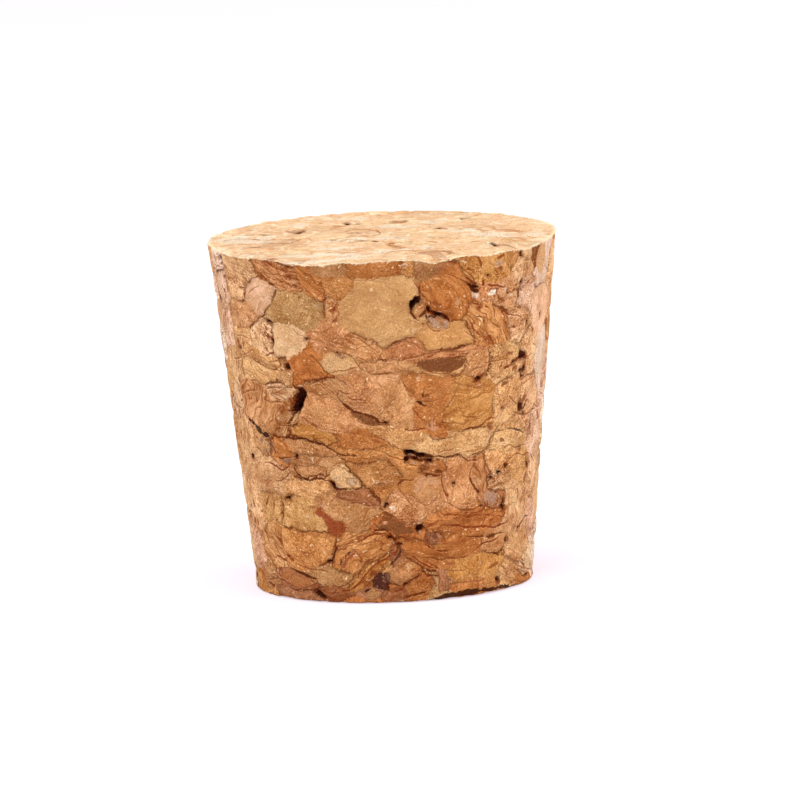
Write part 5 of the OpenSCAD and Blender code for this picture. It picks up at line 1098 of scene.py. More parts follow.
@dataclass
class StopperBody:
    """The stopper itself: one plug of pressed granules, turned to a taper and sawn at both ends.

    Sizes are in millimetres, and smooth_under is in degrees.
    """

    name: str = "cork_stopper_body"
    edge: float = 0.09
    # each ring of an eased rim: its rise and its inset, as shares of the edge
    ease: tuple[tuple[float, float], ...] = ((0.62, 0.12), (0.38, 0.5), (0.0, 1.2))
    flare: float = 0.06
    columns: int = 440
    courses: int = 144
    granule_step: float = 0.05
    seam_groove: float = 0.14
    pillow: float = 0.05
    deepest: float = 0.9
    rim_sag: float = 0.34
    lift: float = 0.4
    swell: tuple[float, float] = (1.1, 3.1)  # a ripple's length and where it starts
    grit: tuple[float, float] = (0.38, 7.7)
    sway: tuple[float, float] = (0.24, 0.13)  # how far swell and grit move the granules' borders
    step_reach: float = 0.12
    groove_reach: float = 0.13
    pillow_reach: float = 0.3
    crack_reach: float = 0.09
    crack_groove: float = 0.35
    end_slope: float = 0.9  # how level a face is on an end, and where the saw has left its mark
    sawn_slope: float = 0.75
    unmarked: float = 0.1  # the tint where no mark is
    smooth_under: float = 50.0
    # the torn rim's notches: degrees right of the front, half width in degrees, depth
    notches: tuple[tuple[float, float, float], ...] = (
        (-27, 5, 0.2), (-34, 4, 0.1), (-20, 4, 0.14), (-8, 3, 0.1), (16, 4, 0.14), (19, 5, 0.12), (37, 6, 0.14),
        (56, 9, 0.2), (-55, 8, 0.06),
    )  # fmt: skip

    def build(self) -> bpy.types.Object:
        """Models the plug and records its cork in it.

        Returns:
            The finished piece.
        """
        body = self.turn_blank()
        self.crumble(body)
        self.shade()
        self.record(body)
        return body

    def turn_blank(self) -> bpy.types.Object:
        """Turns the plain tapered plug with eased rims and a fine, even mesh.

        Returns:
            The plug, its place in its mesh.
        """
        height, edge = TAPER.height, self.edge
        low, high = TAPER.radius(edge) + self.flare, TAPER.radius(height - edge)
        bpy.ops.object.select_all(action="DESELECT")
        bpy.ops.mesh.primitive_cone_add(
            vertices=self.columns,
            radius1=low * MM,
            radius2=high * MM,
            depth=(height - 2 * edge) * MM,
            end_fill_type="NOTHING",
            location=(0, 0, height / 2 * MM),
        )
        body = bpy.context.object
        body.name = body.data.name = self.name
        bpy.ops.object.transform_apply(location=True, rotation=True, scale=True)
        bpy.ops.object.mode_set(mode="EDIT")
        self.select_edges(body, lambda one, other: abs(one.z - other.z) > MM)
        bpy.ops.mesh.subdivide(number_cuts=self.courses - 1)
        for level, flat, start, way in ((height - edge, height, high, 1), (edge, 0.0, low, -1)):
            self.select_edges(body, lambda *ends: all(abs(end.z - level * MM) < 1e-6 for end in ends))
            for lift, inset in self.ease:
                rise = (0, 0, way * edge * lift * MM)
                bpy.ops.mesh.extrude_region_move(TRANSFORM_OT_translate={"value": rise})
                ring = start - edge * inset
                bpy.ops.transform.resize(value=(ring / start, ring / start, 1), center_override=(0, 0, flat * MM))
                start = ring
            self.start_ring(body)
            bpy.ops.mesh.fill_grid(span=self.columns // 4)
        bpy.ops.mesh.select_all(action="SELECT")
        bpy.ops.mesh.normals_make_consistent(inside=False)
        bpy.ops.object.mode_set(mode="OBJECT")
        return body

    @staticmethod
    def start_ring(body: bpy.types.Object) -> None:
        """Starts an end's grid at the ring's right, so that it is laid the same way every time."""
        mesh = bmesh.from_edit_mesh(body.data)
        mesh.select_history.clear()
        mesh.select_history.add(max((v for v in mesh.verts if v.select), key=lambda v: v.co.x))

    @staticmethod
    def select_edges(body: bpy.types.Object, wanted: Callable[[Vector, Vector], bool]) -> None:
        """Selects the edges whose two ends pass a test, and nothing else.

        Args:
            body: The piece, in edit mode.
            wanted: Takes an edge's two end points.
        """
        bpy.ops.mesh.select_mode(type="EDGE")
        bpy.ops.mesh.select_all(action="DESELECT")
        bpy.ops.object.mode_set(mode="OBJECT")
        points = [v.co for v in body.data.vertices]
        for edge in body.data.edges:
            one, other = edge.vertices
            edge.select = wanted(points[one], points[other])
        bpy.ops.object.mode_set(mode="EDIT")

    def press(self, body: bpy.types.Object, name: str, direction: str, depths: np.ndarray, most: float) -> None:
        """Moves the surface by a depth at each point, with a Displace modifier that is applied.

        Args:
            body: The piece.
            name: Name of the relief.
            direction: "NORMAL" or "Z".
            depths: Millimetres at each point, 0 or more.
            most: The move at full weight, in millimetres; its sign is the way.
        """
        group = body.vertex_groups.new(name=name)
        weights = np.clip(depths / abs(most), 0, 1)
        for index in np.flatnonzero(weights > 1e-4).tolist():
            group.add([index], float(weights[index]), "REPLACE")
        relief = body.modifiers.new(name, "DISPLACE")
        relief.direction = direction
        relief.mid_level = 0.0
        relief.strength = most * MM
        relief.vertex_group = name
        bpy.ops.object.modifier_apply(modifier=name)
        body.vertex_groups.remove(body.vertex_groups[name])

    def crumble(self, body: bpy.types.Object) -> None:
        """Presses the granules' levels, seams, voids and cracks into the plug, and wears its rims.

        Args:
            body: The plain plug.
        """
        points = taken(body.data.vertices, "co", 3) / MM
        outward = taken(body.data.vertices, "normal", 3)
        self.field = GranuleField(FRONT_GRANULES + filler())
        self.cracks, self.veins = Lines(CRACKS), Lines(VEINS)
        swell, grit = (ripple(points, length, shift) for length, shift in (self.swell, self.grit))
        self.wander = self.sway[0] * swell + self.sway[1] * grit
        self.points, warped = points, points + self.wander
        one, other = self.field.nearest(warped)
        seam = self.field.border(warped, one, other, outward)
        share = smooth_step(-self.step_reach, self.step_reach, seam)
        level = self.field.levels[other] + (self.field.levels[one] - self.field.levels[other]) * share
        gape = self.gapes(one, other) ** 2 * np.clip(0.6 + swell[:, 2], 0, 1)
        depth = self.granule_step * level
        depth += self.seam_groove * np.exp(-((seam / self.groove_reach) ** 2)) * (0.1 + gape)
        depth += 0.02 * (1 + grit[:, 0]) + self.pillow * np.exp(-((seam / self.pillow_reach) ** 2))
        self.voids = np.full(len(points), -0.6)
        torn, split = points + 0.04 * grit, points + 0.05 * grit
        for hollow in HOLLOWS:
            inside = hollow.shape.inside(torn)
            depth += hollow.depth * smooth_step(-0.02, 0.16, inside) * (1 + 0.2 * grit[:, 1])
            self.voids = np.maximum(self.voids, inside)
        run = self.cracks.nearest(split)
        gap = np.abs(self.cracks.offset(split, run))
        width = self.cracks.breadth(points, run)
        groove = self.crack_groove * self.cracks.depths[run] * np.exp(-((gap / self.crack_reach) ** 2))
        depth += np.where(run < 0, 0, groove * (width > 0))
        on_end = np.abs(outward[:, 2]) > self.end_slope
        waist = np.sin(np.clip(points[:, 2] / TAPER.height, 0, 1) * math.pi)
        depth += np.where(on_end, 0, 0.02 * waist)
        depth *= 0.35 + 0.65 * smooth_step(0.0, 0.5, points[:, 2])
        bpy.ops.object.select_all(action="DESELECT")
        body.select_set(True)
        bpy.context.view_layer.objects.active = body
        self.press(body, "hollows", "NORMAL", depth, -self.deepest)
        self.press(body, "worn_rim", "Z", self.rim_drop(points, swell), -self.rim_sag)
        self.press(body, "lifted_edge", "Z", self.base_lift(points, grit), self.lift)

    @staticmethod
    def gapes(one: np.ndarray, other: np.ndarray) -> np.ndarray:
        """How far the joint of each two granules gapes, from 0, closed, to 1."""
        count = 4096
        return np.random.default_rng(23).uniform(0, 1, count)[(one * 131 + other * 17) % count]

    def rim_drop(self, points: np.ndarray, swell: np.ndarray) -> np.ndarray:
        """How far the sawn top sags at each point: a little to its rim, more in its notches.

        Args:
            points: Places in millimetres.
            swell: A slow ripple over them.

        Returns:
            Millimetres down.
        """
        radius, azimuth = round_axis(points)
        rim = smooth_step(5.0, 9.5, radius)
        front = smooth_step(1.5, -4.0, points[:, 1])
        drop = (0.05 + 0.035 * (1 + swell[:, 0])) * rim * front
        edge = smooth_step(8.2, 9.4, radius)
        for place, width, deep in self.notches:
            drop += deep * edge * np.exp(-(((azimuth - place) / width) ** 2))
        upper = smooth_step(TAPER.height - 1.4, TAPER.height - 0.1, points[:, 2])
        return np.clip(drop, 0, self.rim_sag) * upper

    def base_lift(self, points: np.ndarray, grit: np.ndarray) -> np.ndarray:
        """How far the broken base edge stands off the ground, right of the front.

        Args:
            points: Places in millimetres.
            grit: A fine ripple over them.

        Returns:
            Millimetres up.
        """
        radius, azimuth = round_axis(points)
        edge = smooth_step(6.0, 7.4, radius)
        arc = np.clip(1 - np.abs((azimuth - 37) / 21) ** 2.2, 0, 1)
        rest = 0.01 + 0.02 * smooth_step(6.6, 7.5, radius) * (1 + grit[:, 2])
        lower = 1 - smooth_step(0.05, 1.2, points[:, 2])
        return np.clip(rest * edge + 0.02 * arc * edge, 0, self.lift) * lower

    def shade(self) -> None:
        """Shades the plug smooth, but for its sharp rims and breaks."""
        bpy.ops.object.shade_smooth_by_angle(angle=math.radians(self.smooth_under))

    def record(self, body: bpy.types.Object) -> None:
        """Records the granules, cracks, veins and patches in the mesh, for the cork to read.

        Each face measures itself against its own two granules and its own line, and every corner keeps
        the signed distance, so that a border or a line stays sharp inside a face.

        Args:
            body: The worn plug.
        """
        mesh = body.data
        corner_point = taken(mesh.loops, "vertex_index", kind=np.int64)
        sides = taken(mesh.polygons, "loop_total", kind=np.int64)
        corner_face = np.repeat(np.arange(len(sides)), sides)
        outward = taken(mesh.polygons, "normal", 3)
        points, warped = self.points, self.points + self.wander
        middle = self.face_mean(points, corner_point, corner_face, sides)
        warped_middle = self.face_mean(warped, corner_point, corner_face, sides)

        one, other = self.field.nearest(warped_middle)
        one, other, out = one[corner_face], other[corner_face], outward[corner_face]
        at, warped_at = points[corner_point], warped[corner_point]
        self.keep(mesh, "seam", "FLOAT", self.field.border(warped_at, one, other, out))
        for side, which in (("near", one), ("far", other)):
            self.keep(mesh, f"tint_{side}", "FLOAT_VECTOR", self.field.tints[which])
            self.keep(mesh, f"layers_{side}", "FLOAT_VECTOR", self.field.local(at, which))
            self.keep(mesh, f"habit_{side}", "FLOAT_VECTOR", self.field.habits[which])
        gape = self.gapes(one, other)
        sawn = (np.abs(outward[:, 2]) > self.sawn_slope)[corner_face].astype(float)
        self.keep(mesh, "joint", "FLOAT_VECTOR", np.stack((gape, sawn, self.voids[corner_point]), axis=1))
        from_rim = np.where(sawn > 0, 0.5 * (0.5 * TAPER.top_d - round_axis(at)[0]), TAPER.height - at[:, 2])
        self.keep(mesh, "rim", "FLOAT", np.where(at[:, 2] > 0.5 * TAPER.height, from_rim, -OUTSIDE))

        shaken = points + 0.25 * self.wander
        for label, lines in (("crack", self.cracks), ("vein", self.veins)):
            run = lines.nearest(self.face_mean(shaken, corner_point, corner_face, sides))[corner_face]
            offset = lines.offset(shaken[corner_point], run)
            breadth = lines.breadth(middle[corner_face], run)
            self.keep(mesh, label, "FLOAT_VECTOR", np.stack((offset, breadth, (breadth > 0) * 1.0), axis=1))
            tints = np.where(run[:, None] < 0, self.unmarked, lines.tints[run])
            self.keep(mesh, f"{label}_tint", "FLOAT_VECTOR", tints)

        best = np.full(len(sides), -0.4)
        chosen = np.full(len(sides), -1)
        for index, patch in enumerate(PATCHES):
            inside = patch.shape.inside(middle)
            inside = np.where(inside > -0.05, 10 + 0.01 * index, inside)
            closer = inside > best
            best[closer], chosen[closer] = inside[closer], index
        stain = np.full(len(corner_point), -1.0)
        tint = np.full((len(corner_point), 3), self.unmarked)
        strength = np.zeros(len(corner_point))
        fade = np.full(len(corner_point), FADE)
        for index, patch in enumerate(PATCHES):
            mine = chosen[corner_face] == index
            stain[mine] = patch.shape.inside(at[mine])
            tint[mine] = linear(patch.cork.value)[:3]
            strength[mine] = patch.strength
            fade[mine] = patch.fade
        self.keep(mesh, "patch", "FLOAT_VECTOR", np.stack((stain, strength, fade), axis=1))
        self.keep(mesh, "patch_tint", "FLOAT_VECTOR", tint)

    @staticmethod
    def face_mean(values: np.ndarray, corner: np.ndarray, face: np.ndarray, sides: np.ndarray) -> np.ndarray:
        """Mean of the corners' values over each face."""
        columns = values[corner].T
        totals = [np.bincount(face, weights=column, minlength=len(sides)) for column in columns]
        return np.stack(totals, axis=1) / sides[:, None]

    @staticmethod
    def keep(mesh: bpy.types.Mesh, name: str, kind: str, values: np.ndarray) -> None:
        """Keeps one value a face corner in the mesh.

        Args:
            mesh: The mesh.
            name: The attribute's name.
            kind: "FLOAT" or "FLOAT_VECTOR".
            values: A number or a vector for each corner.
        """
        layer = mesh.attributes.new(name, kind, "CORNER")
        numbers = np.ascontiguousarray(values, dtype=np.float32).ravel()
        layer.data.foreach_set("value" if kind == "FLOAT" else "vector", numbers)


def add(tree: bpy.types.NodeTree, kind: str, inputs: tuple | dict = (), out: int | str | None = 0, **settings) -> Any:
    """Adds one node with its settings and links.

    Args:
        tree: The material's or world's node tree.
        kind: The node's type, less its "ShaderNode".
        inputs: Values, or output sockets to link, in order or by input name or number.
        out: The output that is wanted, or None for all of them.
        settings: The node's own properties.

    Returns:
        The output socket, or all the node's outputs.
    """
    node = tree.nodes.new(f"ShaderNode{kind}")
    for key, value in settings.items():
        setattr(node, key, value)
    for key, value in inputs.items() if isinstance(inputs, dict) else enumerate(inputs):
        if isinstance(value, bpy.types.NodeSocket):
            tree.links.new(value, node.inputs[key])
        else:
            node.inputs[key].default_value = value
    return node.outputs if out is None else node.outputs[out]


SMOOTH = {"interpolation_type": "SMOOTHSTEP"}


@dataclass(frozen=True)
class AgglomeratedCork:
    """Agglomerated cork: bark granules pressed with a little binder, then turned and sawn.

    It gives a dry, matt face of many tans, with dark binder and bark in the joints, growth lines in each
    granule and a sand of cut cells. Sizes are in millimetres.
    """

    cell_sand: float = 0.09  # cut cells are 0.04 mm; drawn coarser, so that they show
    fibre: tuple[float, float] = (0.09, 0.30)  # curls of torn cells: across and along the growth
    layer: tuple[float, float] = (0.40, 2.4)  # growth layers, pressed: across and along
    ring: tuple[float, float] = (1.5, 6.0)
    speck: tuple[float, float] = (0.15, 0.22)
    lenticel: tuple[float, float] = (0.3, 0.65)
    mottle: float = 1.5
    fray: float = 0.17
    seam_width: float = 0.07
    roughness: float = 0.85
    ior: float = 1.4
    sheen: float = 0.05
    relief: float = 0.2
    # painted highlight and painted shade: the tints the cells' tone mixes toward, also the cork's own lighter and
    # redder colour
    light: tuple[float, float, float] = (1.38, 1.65, 2.1)  # what cut cells that face the light do to a tint
    shadow: tuple[float, float, float] = (0.4, 0.17, 0.05)
    # painted shade: the tint beside a gaping seam
    seam_shade: tuple[float, float, float] = (0.55, 0.38, 0.26)  # beside a gaping seam
    bend: float = 1.3
    curl: float = 0.3
    cell_tone: float = 2.4
    curl_tone: float = 1.1
    layer_tone: float = 2.3
    cloud_tone: float = 1.4
    darkening: float = -0.7
    lightening: float = 1.25
    # the sawn ends' lighter tint is partly their own colour and partly a painted sheen of the brightly lit top
    sawn: float = 0.68  # the sawn ends are paler than the turned flank

    @staticmethod
    def drawn_out(across: float, along: float) -> tuple[float, float, float]:
        """Scale of a pattern with one size across the growth and another along it."""
        return (1 / across, 1 / along, 1 / along)

    def material(self) -> bpy.types.Material:
        """Builds the cork's node material.

        Returns:
            The material.
        """
        cork = bpy.data.materials.new("agglomerated_cork")
        cork.use_nodes = True
        cork.node_tree.nodes.clear()
        node = partial(add, cork.node_tree)
        read = {
            name: node("Attribute", out="Vector", attribute_name=name)
            for name in ("seam", "tint_near", "tint_far", "layers_near", "layers_far", "habit_near", "habit_far",
                         "joint", "rim", "crack", "crack_tint", "vein", "vein_tint", "patch", "patch_tint")
        }  # fmt: skip
        millimetres = node("VectorMath", {0: node("TexCoord", out="Object"), "Scale": 1 / MM}, operation="SCALE")

        # every drawn border frays a little below the mesh's own step
        fray = node("TexNoise", {"Vector": millimetres, "Scale": 1 / self.fray, "Detail": 2.0, "Roughness": 0.6})
        frayed = node("Math", (fray, 0.5), operation="SUBTRACT")
        border = node("SeparateXYZ", (read["seam"],))
        seam = node("Math", (frayed, 0.4, border), operation="MULTIPLY_ADD")
        side = node("Math", (seam, 0.0), operation="GREATER_THAN")
        tint, layers, habit = (
            node("Mix", {"Factor": side, 4: read[f"{name}_far"], 5: read[f"{name}_near"]}, out=1, data_type="VECTOR")
            for name in ("tint", "layers", "habit")
        )
        rings, flecks, sand = node("SeparateXYZ", (habit,), out=None)
        gape, sawn, void = node("SeparateXYZ", (read["joint"],), out=None)

        # the granule's own grain, bent by a slow wobble and a quick curl
        wobble = node("TexNoise", {"Vector": layers, "Scale": 0.75, "Detail": 1.0}, out="Color")
        bent = node("VectorMath", (wobble, (self.bend,) * 3, layers), operation="MULTIPLY_ADD")
        curl = node("TexNoise", {"Vector": layers, "Scale": 2.6, "Detail": 1.0}, out="Color")
        curled = node("VectorMath", (curl, (self.curl,) * 3, bent), operation="MULTIPLY_ADD")
        across = node("Mapping", {"Vector": curled, "Scale": self.drawn_out(*self.layer)})
        growth = node("TexNoise", {"Vector": across, "Scale": 1.0, "Detail": 3.0, "Roughness": 0.62})
        torn = node("Mapping", {"Vector": curled, "Scale": self.drawn_out(*self.fibre)})
        fibres = node("TexNoise", {"Vector": torn, "Scale": 1.0, "Detail": 2.0, "Roughness": 0.65})
        cells = node("TexNoise", {"Vector": layers, "Scale": 1 / self.cell_sand, "Detail": 3.0, "Roughness": 0.8})
        open_noise = node("TexNoise", {"Vector": millimetres, "Scale": 0.8, "Detail": 3.0, "Roughness": 0.7})
        blotch = node("TexNoise", {"Vector": layers, "Scale": 1 / self.mottle, "Detail": 3.0, "Roughness": 0.65})

        # ring lines: the thin dark late layers, as contours of one slow swell
        slow = node("Mapping", {"Vector": curled, "Scale": self.drawn_out(*self.ring)})
        swell = node("TexNoise", {"Vector": slow, "Scale": 1.0, "Detail": 1.0, "Roughness": 0.4})
        phase = node("Math", (swell, 11.0), operation="MULTIPLY")
        phase = node("Math", (phase, 0.5), operation="PINGPONG")
        ring_line = node("MapRange", (phase, 0.02, 0.14, 1.4, 0), **SMOOTH)

        # specks: painted glints of torn cells that catch the light, and small dark specks
        strewn = node("Mapping", {"Vector": curled, "Scale": self.drawn_out(*self.speck)})
        speck = node("TexVoronoi", {"Vector": strewn, "Scale": 1.0, "Randomness": 1.0}, out=None)
        speck_pale, speck_dark, _ = node("SeparateXYZ", (speck["Color"],), out=None)
        specks = []
        for chance, most, rare in ((speck_pale, 0.95, 0.66), (speck_dark, 0.5, 0.86)):
            reach = node("MapRange", (chance, rare, 1, 0, 0.45))
            reach = node("Math", (reach, speck["Distance"]), operation="SUBTRACT")
            specks.append(node("MapRange", (reach, 0, 0.2, 0, most)))

        # lenticels: short rust flecks along the grain
        dash = node("Mapping", {"Vector": curled, "Scale": self.drawn_out(*self.lenticel)})
        lenticel = node("TexVoronoi", {"Vector": dash, "Scale": 1.0, "Randomness": 1.0}, out=None)
        rare = node("SeparateXYZ", (lenticel["Color"],))
        size = node("MapRange", (rare, 0.5, 1, 0, 0.5))
        size = node("Math", (size, flecks), operation="MULTIPLY")
        size = node("Math", (frayed, 0.5, size), operation="MULTIPLY_ADD")
        inner = node("Math", (size, lenticel["Distance"]), operation="SUBTRACT")
        fleck = node("MapRange", (inner, 0, 0.12, 0, 0.8))

        # the cut face's tone: above 0 it is paler than the granule's tint, below 0 darker and redder; partly the
        # cork's own mottle, partly painted highlight and shade on the cells' relief
        tone = node("MapRange", (cells, 0, 1, -self.cell_tone, self.cell_tone), clamp=False)
        curls = node("MapRange", (fibres, 0, 1, -self.curl_tone, self.curl_tone), clamp=False)
        tone = node("Math", (tone, curls), operation="ADD")
        tone = node("Math", (tone, sand), operation="MULTIPLY")
        torn_most = node("MapRange", (open_noise, 0.4, 0.62, 0.7, 1.35))
        tone = node("Math", (tone, torn_most), operation="MULTIPLY")
        bands = node("MapRange", (growth, 0, 1, self.layer_tone, -self.layer_tone), clamp=False)
        tone = node("Math", (bands, rings, tone), operation="MULTIPLY_ADD")
        clouds = node("MapRange", (blotch, 0, 1, -self.cloud_tone, self.cloud_tone), clamp=False)
        tone = node("Math", (clouds, sand, tone), operation="MULTIPLY_ADD")
        light = node("VectorMath", (tint, self.light), operation="MULTIPLY")
        shadow = node("VectorMath", (tint, self.shadow), operation="MULTIPLY")
        # painted highlight on the crests of the curls
        curl_highlight = node("MapRange", (fibres, 0.64, 0.74, 0, 0.3))
        late_wood = node("MapRange", (growth, 0.57, 0.66, 0, 0.45), **SMOOTH)

        # the saw opens red bark and leaves white dust; the white streaks are partly painted highlights on the sawn
        # top
        scored = node("Mapping", {"Vector": millimetres, "Scale": (1.6, 2.1, 1.6)})
        scored = node("TexNoise", {"Vector": scored, "Scale": 1, "Detail": 4.0, "Roughness": 0.75, "Distortion": 0.6})
        sawn_red = node("MapRange", (scored, 0.53, 0.7, 0, 0.75))
        sawn_white = node("MapRange", (scored, 0.47, 0.33, 0, 0.9))

        # painted highlight along the torn rim, where it would catch the light
        rim_gap = node("SeparateXYZ", (read["rim"],))
        rim = node("Math", (frayed, 0.3, rim_gap), operation="MULTIPLY_ADD")
        rim = node("MapRange", (rim, 0.16, 0.04, 0, 0.9), **SMOOTH)

        # stains
        stain_in, stain_strength, stain_fade = node("SeparateXYZ", (read["patch"],), out=None)
        stain = node("Math", (frayed, 0.4, stain_in), operation="MULTIPLY_ADD")
        stain = node("MapRange", (stain, -0.04, stain_fade), **SMOOTH)
        grained = node("MapRange", (cells, 0.35, 0.65, 0.6, 1.35))
        stain_tint = node("VectorMath", {0: read["patch_tint"], "Scale": grained}, operation="SCALE")

        # seams: most are only a step in colour; some gape and hold dark binder
        openness = node("Math", (gape, 0.55, open_noise), operation="MULTIPLY_ADD")
        width = node("MapRange", (openness, 0.72, 1.2, 0.02, 2.2 * self.seam_width))
        off = node("Math", (seam,), operation="ABSOLUTE")
        line = node("MapRange", (off, width, 0), **SMOOTH)
        line_dark = node("MapRange", (openness, 0.62, 1.12, 0, 1))
        whole = node("MapRange", (sawn, 0, 1, 1, 0.25))
        line_dark = node("Math", (line_dark, whole), operation="MULTIPLY")
        line = node("Math", (line, line_dark), operation="MULTIPLY")
        # painted shade beside a gaping seam
        seam_shade_band = node("MapRange", (off, 0.24, 0), **SMOOTH)
        seam_shade_strength = node("MapRange", (openness, 0.6, 1.1, 0, 0.5))
        seam_shade_tint = node("VectorMath", (tint, self.seam_shade), operation="MULTIPLY")

        # painted highlight on the lower edge of a gaping seam, where it would catch the light
        below = node("Math", (line_dark, side), operation="SUBTRACT")
        lip_highlight = node("MapRange", (seam, -0.15, -0.05, 0, 0.9), **SMOOTH)
        crumbs = node("MapRange", (cells, 0.4, 0.6, 0, 1.2))

        # painted contact shade: darker at the bottom where it meets the floor
        level = node("SeparateXYZ", (millimetres,), out=2)
        level = node("Math", (frayed, -0.35, level), operation="MULTIPLY_ADD")
        foot_shade = node("MapRange", (level, 0.14, 0.02, 0, 0.8), **SMOOTH)

        # voids are dark bark, with painted shade over their real shadow
        deep = node("Math", (frayed, 0.16, void), operation="MULTIPLY_ADD")
        hollow = node("MapRange", (deep, -0.02, 0.03, 0, 0.95), **SMOOTH)
        bark_fleck = node("MapRange", (cells, 0.5, 0.7))
        pit_shade, blood = linear(Cork.PITCH_AND_SHADE.value), linear(Cork.BLOOD.value)
        hollow_bark_and_shade = node("Mix", {"Factor": bark_fleck, 6: pit_shade, 7: blood}, out=2, data_type="RGBA")
        # painted shade just outside a void's edge
        about = node("MapRange", (void, -0.16, 0, 0, 0.5), **SMOOTH)

        # drawn lines: dark ink, and a painted highlight along the side that stands proud
        lip_highlights, inks = [], []
        for name, strength in (("vein", 0.75), ("crack", 0.93)):
            offset, breadth, there = node("SeparateXYZ", (read[name],), out=None)
            wander = node("Math", (frayed, 0.14, offset), operation="MULTIPLY_ADD")
            away = node("Math", (wander,), operation="ABSOLUTE")
            beads = node("MapRange", (open_noise, 0.35, 0.6, 0.25, 1.3))
            reach = node("Math", (breadth, beads), operation="MULTIPLY")
            within = node("Math", (reach, away), operation="SUBTRACT")
            ink = node("MapRange", (within, -0.04, 0.025, 0, strength), **SMOOTH)
            inks.append((read[f"{name}_tint"], ink, there))
            beside = node("Math", (wander, reach), operation="SUBTRACT")
            edge = node("MapRange", (beside, 0.11, 0.04, 0, 0.6), **SMOOTH)
            above = node("Math", (wander, 0.0), operation="GREATER_THAN")
            lip_highlights.append((light, edge, above, crumbs, there))

        # each coat lies over the ones before it: its colour, how much of it, and what thins it
        colour = tint
        for coat, amount, *thinned in (
            (shadow, tone, self.darkening),
            (light, tone, self.lightening),
            (Cork.PAINTED_GLINT, curl_highlight, sand),
            (Cork.RUST, late_wood, rings),
            (Cork.BLOOD, ring_line, rings, fibres),
            (Cork.PAINTED_GLINT, specks[0], sand),
            (Cork.BINDER, specks[1], sand),
            (Cork.BLOOD, fleck),
            (Cork.SAWN_AND_SHEEN, sawn, self.sawn),
            (Cork.CLAY, sawn_red, sawn),
            (Cork.DUST_AND_GLINT, sawn_white, sawn),
            (Cork.RIM_HIGHLIGHT, rim),
            (stain_tint, stain, stain_strength),
            (seam_shade_tint, seam_shade_band, seam_shade_strength, whole),
            (light, lip_highlight, below, crumbs),
            (Cork.BINDER, line),
            *lip_highlights,
            *inks,
            (Cork.BINDER, foot_shade),
            (Cork.BINDER, about),
            (hollow_bark_and_shade, hollow),
        ):
            for factor in thinned:
                amount = node("Math", (amount, factor), operation="MULTIPLY")
            paint = linear(coat.value) if isinstance(coat, Cork) else coat
            colour = node("Mix", {"Factor": amount, 6: colour, 7: paint}, out=2, data_type="RGBA")

        height = node("Math", (fibres, 1.4, cells), operation="MULTIPLY_ADD")
        height = node("Math", (height, line), operation="SUBTRACT")
        bump = node("Bump", {"Strength": 1.0, "Distance": self.relief * MM, "Height": height})
        face = {"Base Color": colour, "Roughness": self.roughness, "Normal": bump}
        shader = node("BsdfPrincipled", face | {"IOR": self.ior, "Specular IOR Level": self.sheen})
        node("OutputMaterial", {"Surface": shader}, out=None)
        return cork


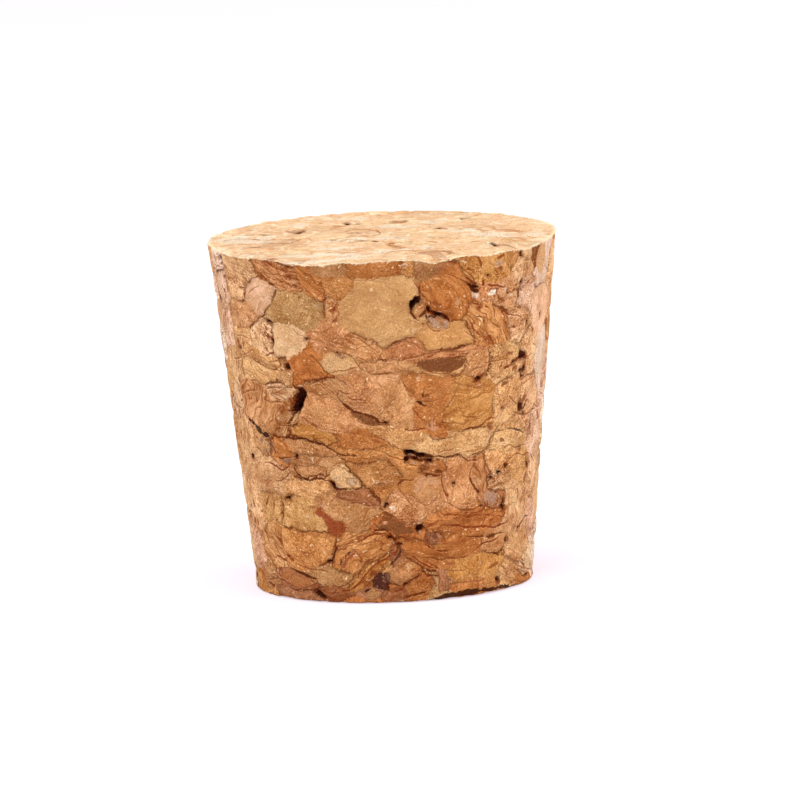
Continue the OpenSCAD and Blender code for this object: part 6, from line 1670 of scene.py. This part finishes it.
@dataclass(frozen=True)
class Studio:
    """A white sweep with soft lamps, and the camera. Lengths in metres, angles in degrees."""

    distance: float = 0.57
    elevation: float = 8.94
    roll: float = -2.13
    lens: float = 472.2
    shift: tuple[float, float] = (0.0145, 0.0089)
    floor_size: float = 8.0
    paper: str = "#f4f2f5"
    backdrop: str = "#ffeff8"
    paper_glow: float = 0.62
    room: str = "#ffffff"
    room_light: float = 0.22
    sensor: float = 36.0  # millimetres, as the lens

    def build(self) -> None:
        """Sets the floor, lamps, world and camera."""
        self.floor()
        self.lamps()
        self.world()
        self.camera()
        bpy.context.scene.view_settings.view_transform = "Standard"

    def floor(self) -> bpy.types.Object:
        """Lays the white floor, which keeps the stopper's shadow."""
        bpy.ops.object.select_all(action="DESELECT")
        bpy.ops.mesh.primitive_plane_add(size=self.floor_size, location=(0, 0, 0))
        floor = bpy.context.object
        floor.name = "studio_floor"
        floor.data.materials.append(self.white_paper())
        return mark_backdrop(floor)

    @staticmethod
    def seen_plainly(node: Callable[..., Any]) -> bpy.types.NodeSocket:
        """Tells where the camera, or gloss, sees the room: 1 there, and 0 for the light it sheds.

        Args:
            node: Adds a node to the tree.

        Returns:
            The output socket.
        """
        path = node("LightPath", out=None)
        return node("Math", (path["Is Camera Ray"], path["Is Glossy Ray"]), operation="MAXIMUM")

    def white_paper(self) -> bpy.types.Material:
        """White seamless paper: matt, and lit to plain white behind the stopper."""
        paper = bpy.data.materials.new("white_seamless_paper")
        paper.use_nodes = True
        paper.node_tree.nodes.clear()
        node = partial(add, paper.node_tree)
        matt = node("BsdfDiffuse", {"Color": linear(self.paper)})
        glow = node("Emission", {"Color": linear(self.backdrop), "Strength": 1.0})
        seen = node("Math", (self.seen_plainly(node), self.paper_glow), operation="MULTIPLY")
        mix = node("MixShader", (seen, matt, glow))
        node("OutputMaterial", {"Surface": mix}, out=None)
        return paper

    @property
    def middle(self) -> Vector:
        """The stopper's middle."""
        return Vector((0, 0, TAPER.height / 2 * MM))

    def lamps(self) -> None:
        """Hangs the soft boxes: one over the stopper, one at each side and one in front."""
        for name, place, size, power in (
            ("overhead_softbox", (0.0, -0.05, 0.5), 0.5, 4.4),
            ("left_softbox", (-0.5, -0.12, 0.16), 0.4, 1.75),
            ("right_softbox", (0.5, -0.12, 0.16), 0.4, 2.35),
            ("front_softbox", (-0.2, -0.5, 0.5), 0.25, 1.0),
        ):
            lamp = bpy.data.lights.new(name, "AREA")
            lamp.size, lamp.energy = size, power
            holder = bpy.data.objects.new(name, lamp)
            bpy.context.scene.collection.objects.link(holder)
            holder.location = place
            holder.rotation_euler = (self.middle - Vector(place)).to_track_quat("-Z", "Y").to_euler()

    def world(self) -> None:
        """Fills the room with even light, and shows it white."""
        room = bpy.data.worlds.new("white_room")
        room.use_nodes = True
        room.node_tree.nodes.clear()
        node = partial(add, room.node_tree)
        level = node("MapRange", (self.seen_plainly(node), 0, 1, self.room_light, 1))
        room_light = node("Background", {"Color": linear(self.room), "Strength": level})
        node("OutputWorld", {"Surface": room_light}, out=None)
        bpy.context.scene.world = room

    def camera(self) -> None:
        """Stands the camera before the stopper, a little above it."""
        lens = bpy.data.cameras.new("camera")
        lens.lens, lens.sensor_width = self.lens, self.sensor
        lens.shift_x, lens.shift_y = self.shift
        lens.clip_start, lens.clip_end = 0.01, 50.0
        camera = bpy.data.objects.new("camera", lens)
        bpy.context.scene.collection.objects.link(camera)
        tilt = math.radians(self.elevation)
        camera.location = self.middle + self.distance * Vector((0, -math.cos(tilt), math.sin(tilt)))
        look = (self.middle - camera.location).to_track_quat("-Z", "Y").to_matrix()
        camera.rotation_euler = (look @ Matrix.Rotation(math.radians(self.roll), 3, "Z")).to_euler()
        bpy.context.scene.camera = camera


def main() -> None:
    """Builds the stopper and its studio, and reports each piece."""
    logging.basicConfig(level=logging.INFO, format="%(message)s")
    noise.seed_set(RIPPLE_SEED)
    body = StopperBody().build()
    body.data.materials.append(AgglomeratedCork().material())
    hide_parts("stopper")
    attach(body, "root")
    triangles = sum(len(p.vertices) - 2 for p in body.data.polygons)
    log.info("%s: %d triangles", body.name, triangles)
    Studio().build()
    log.info("studio: floor, lamps, world and camera")


if __name__ == "__main__":
    main()
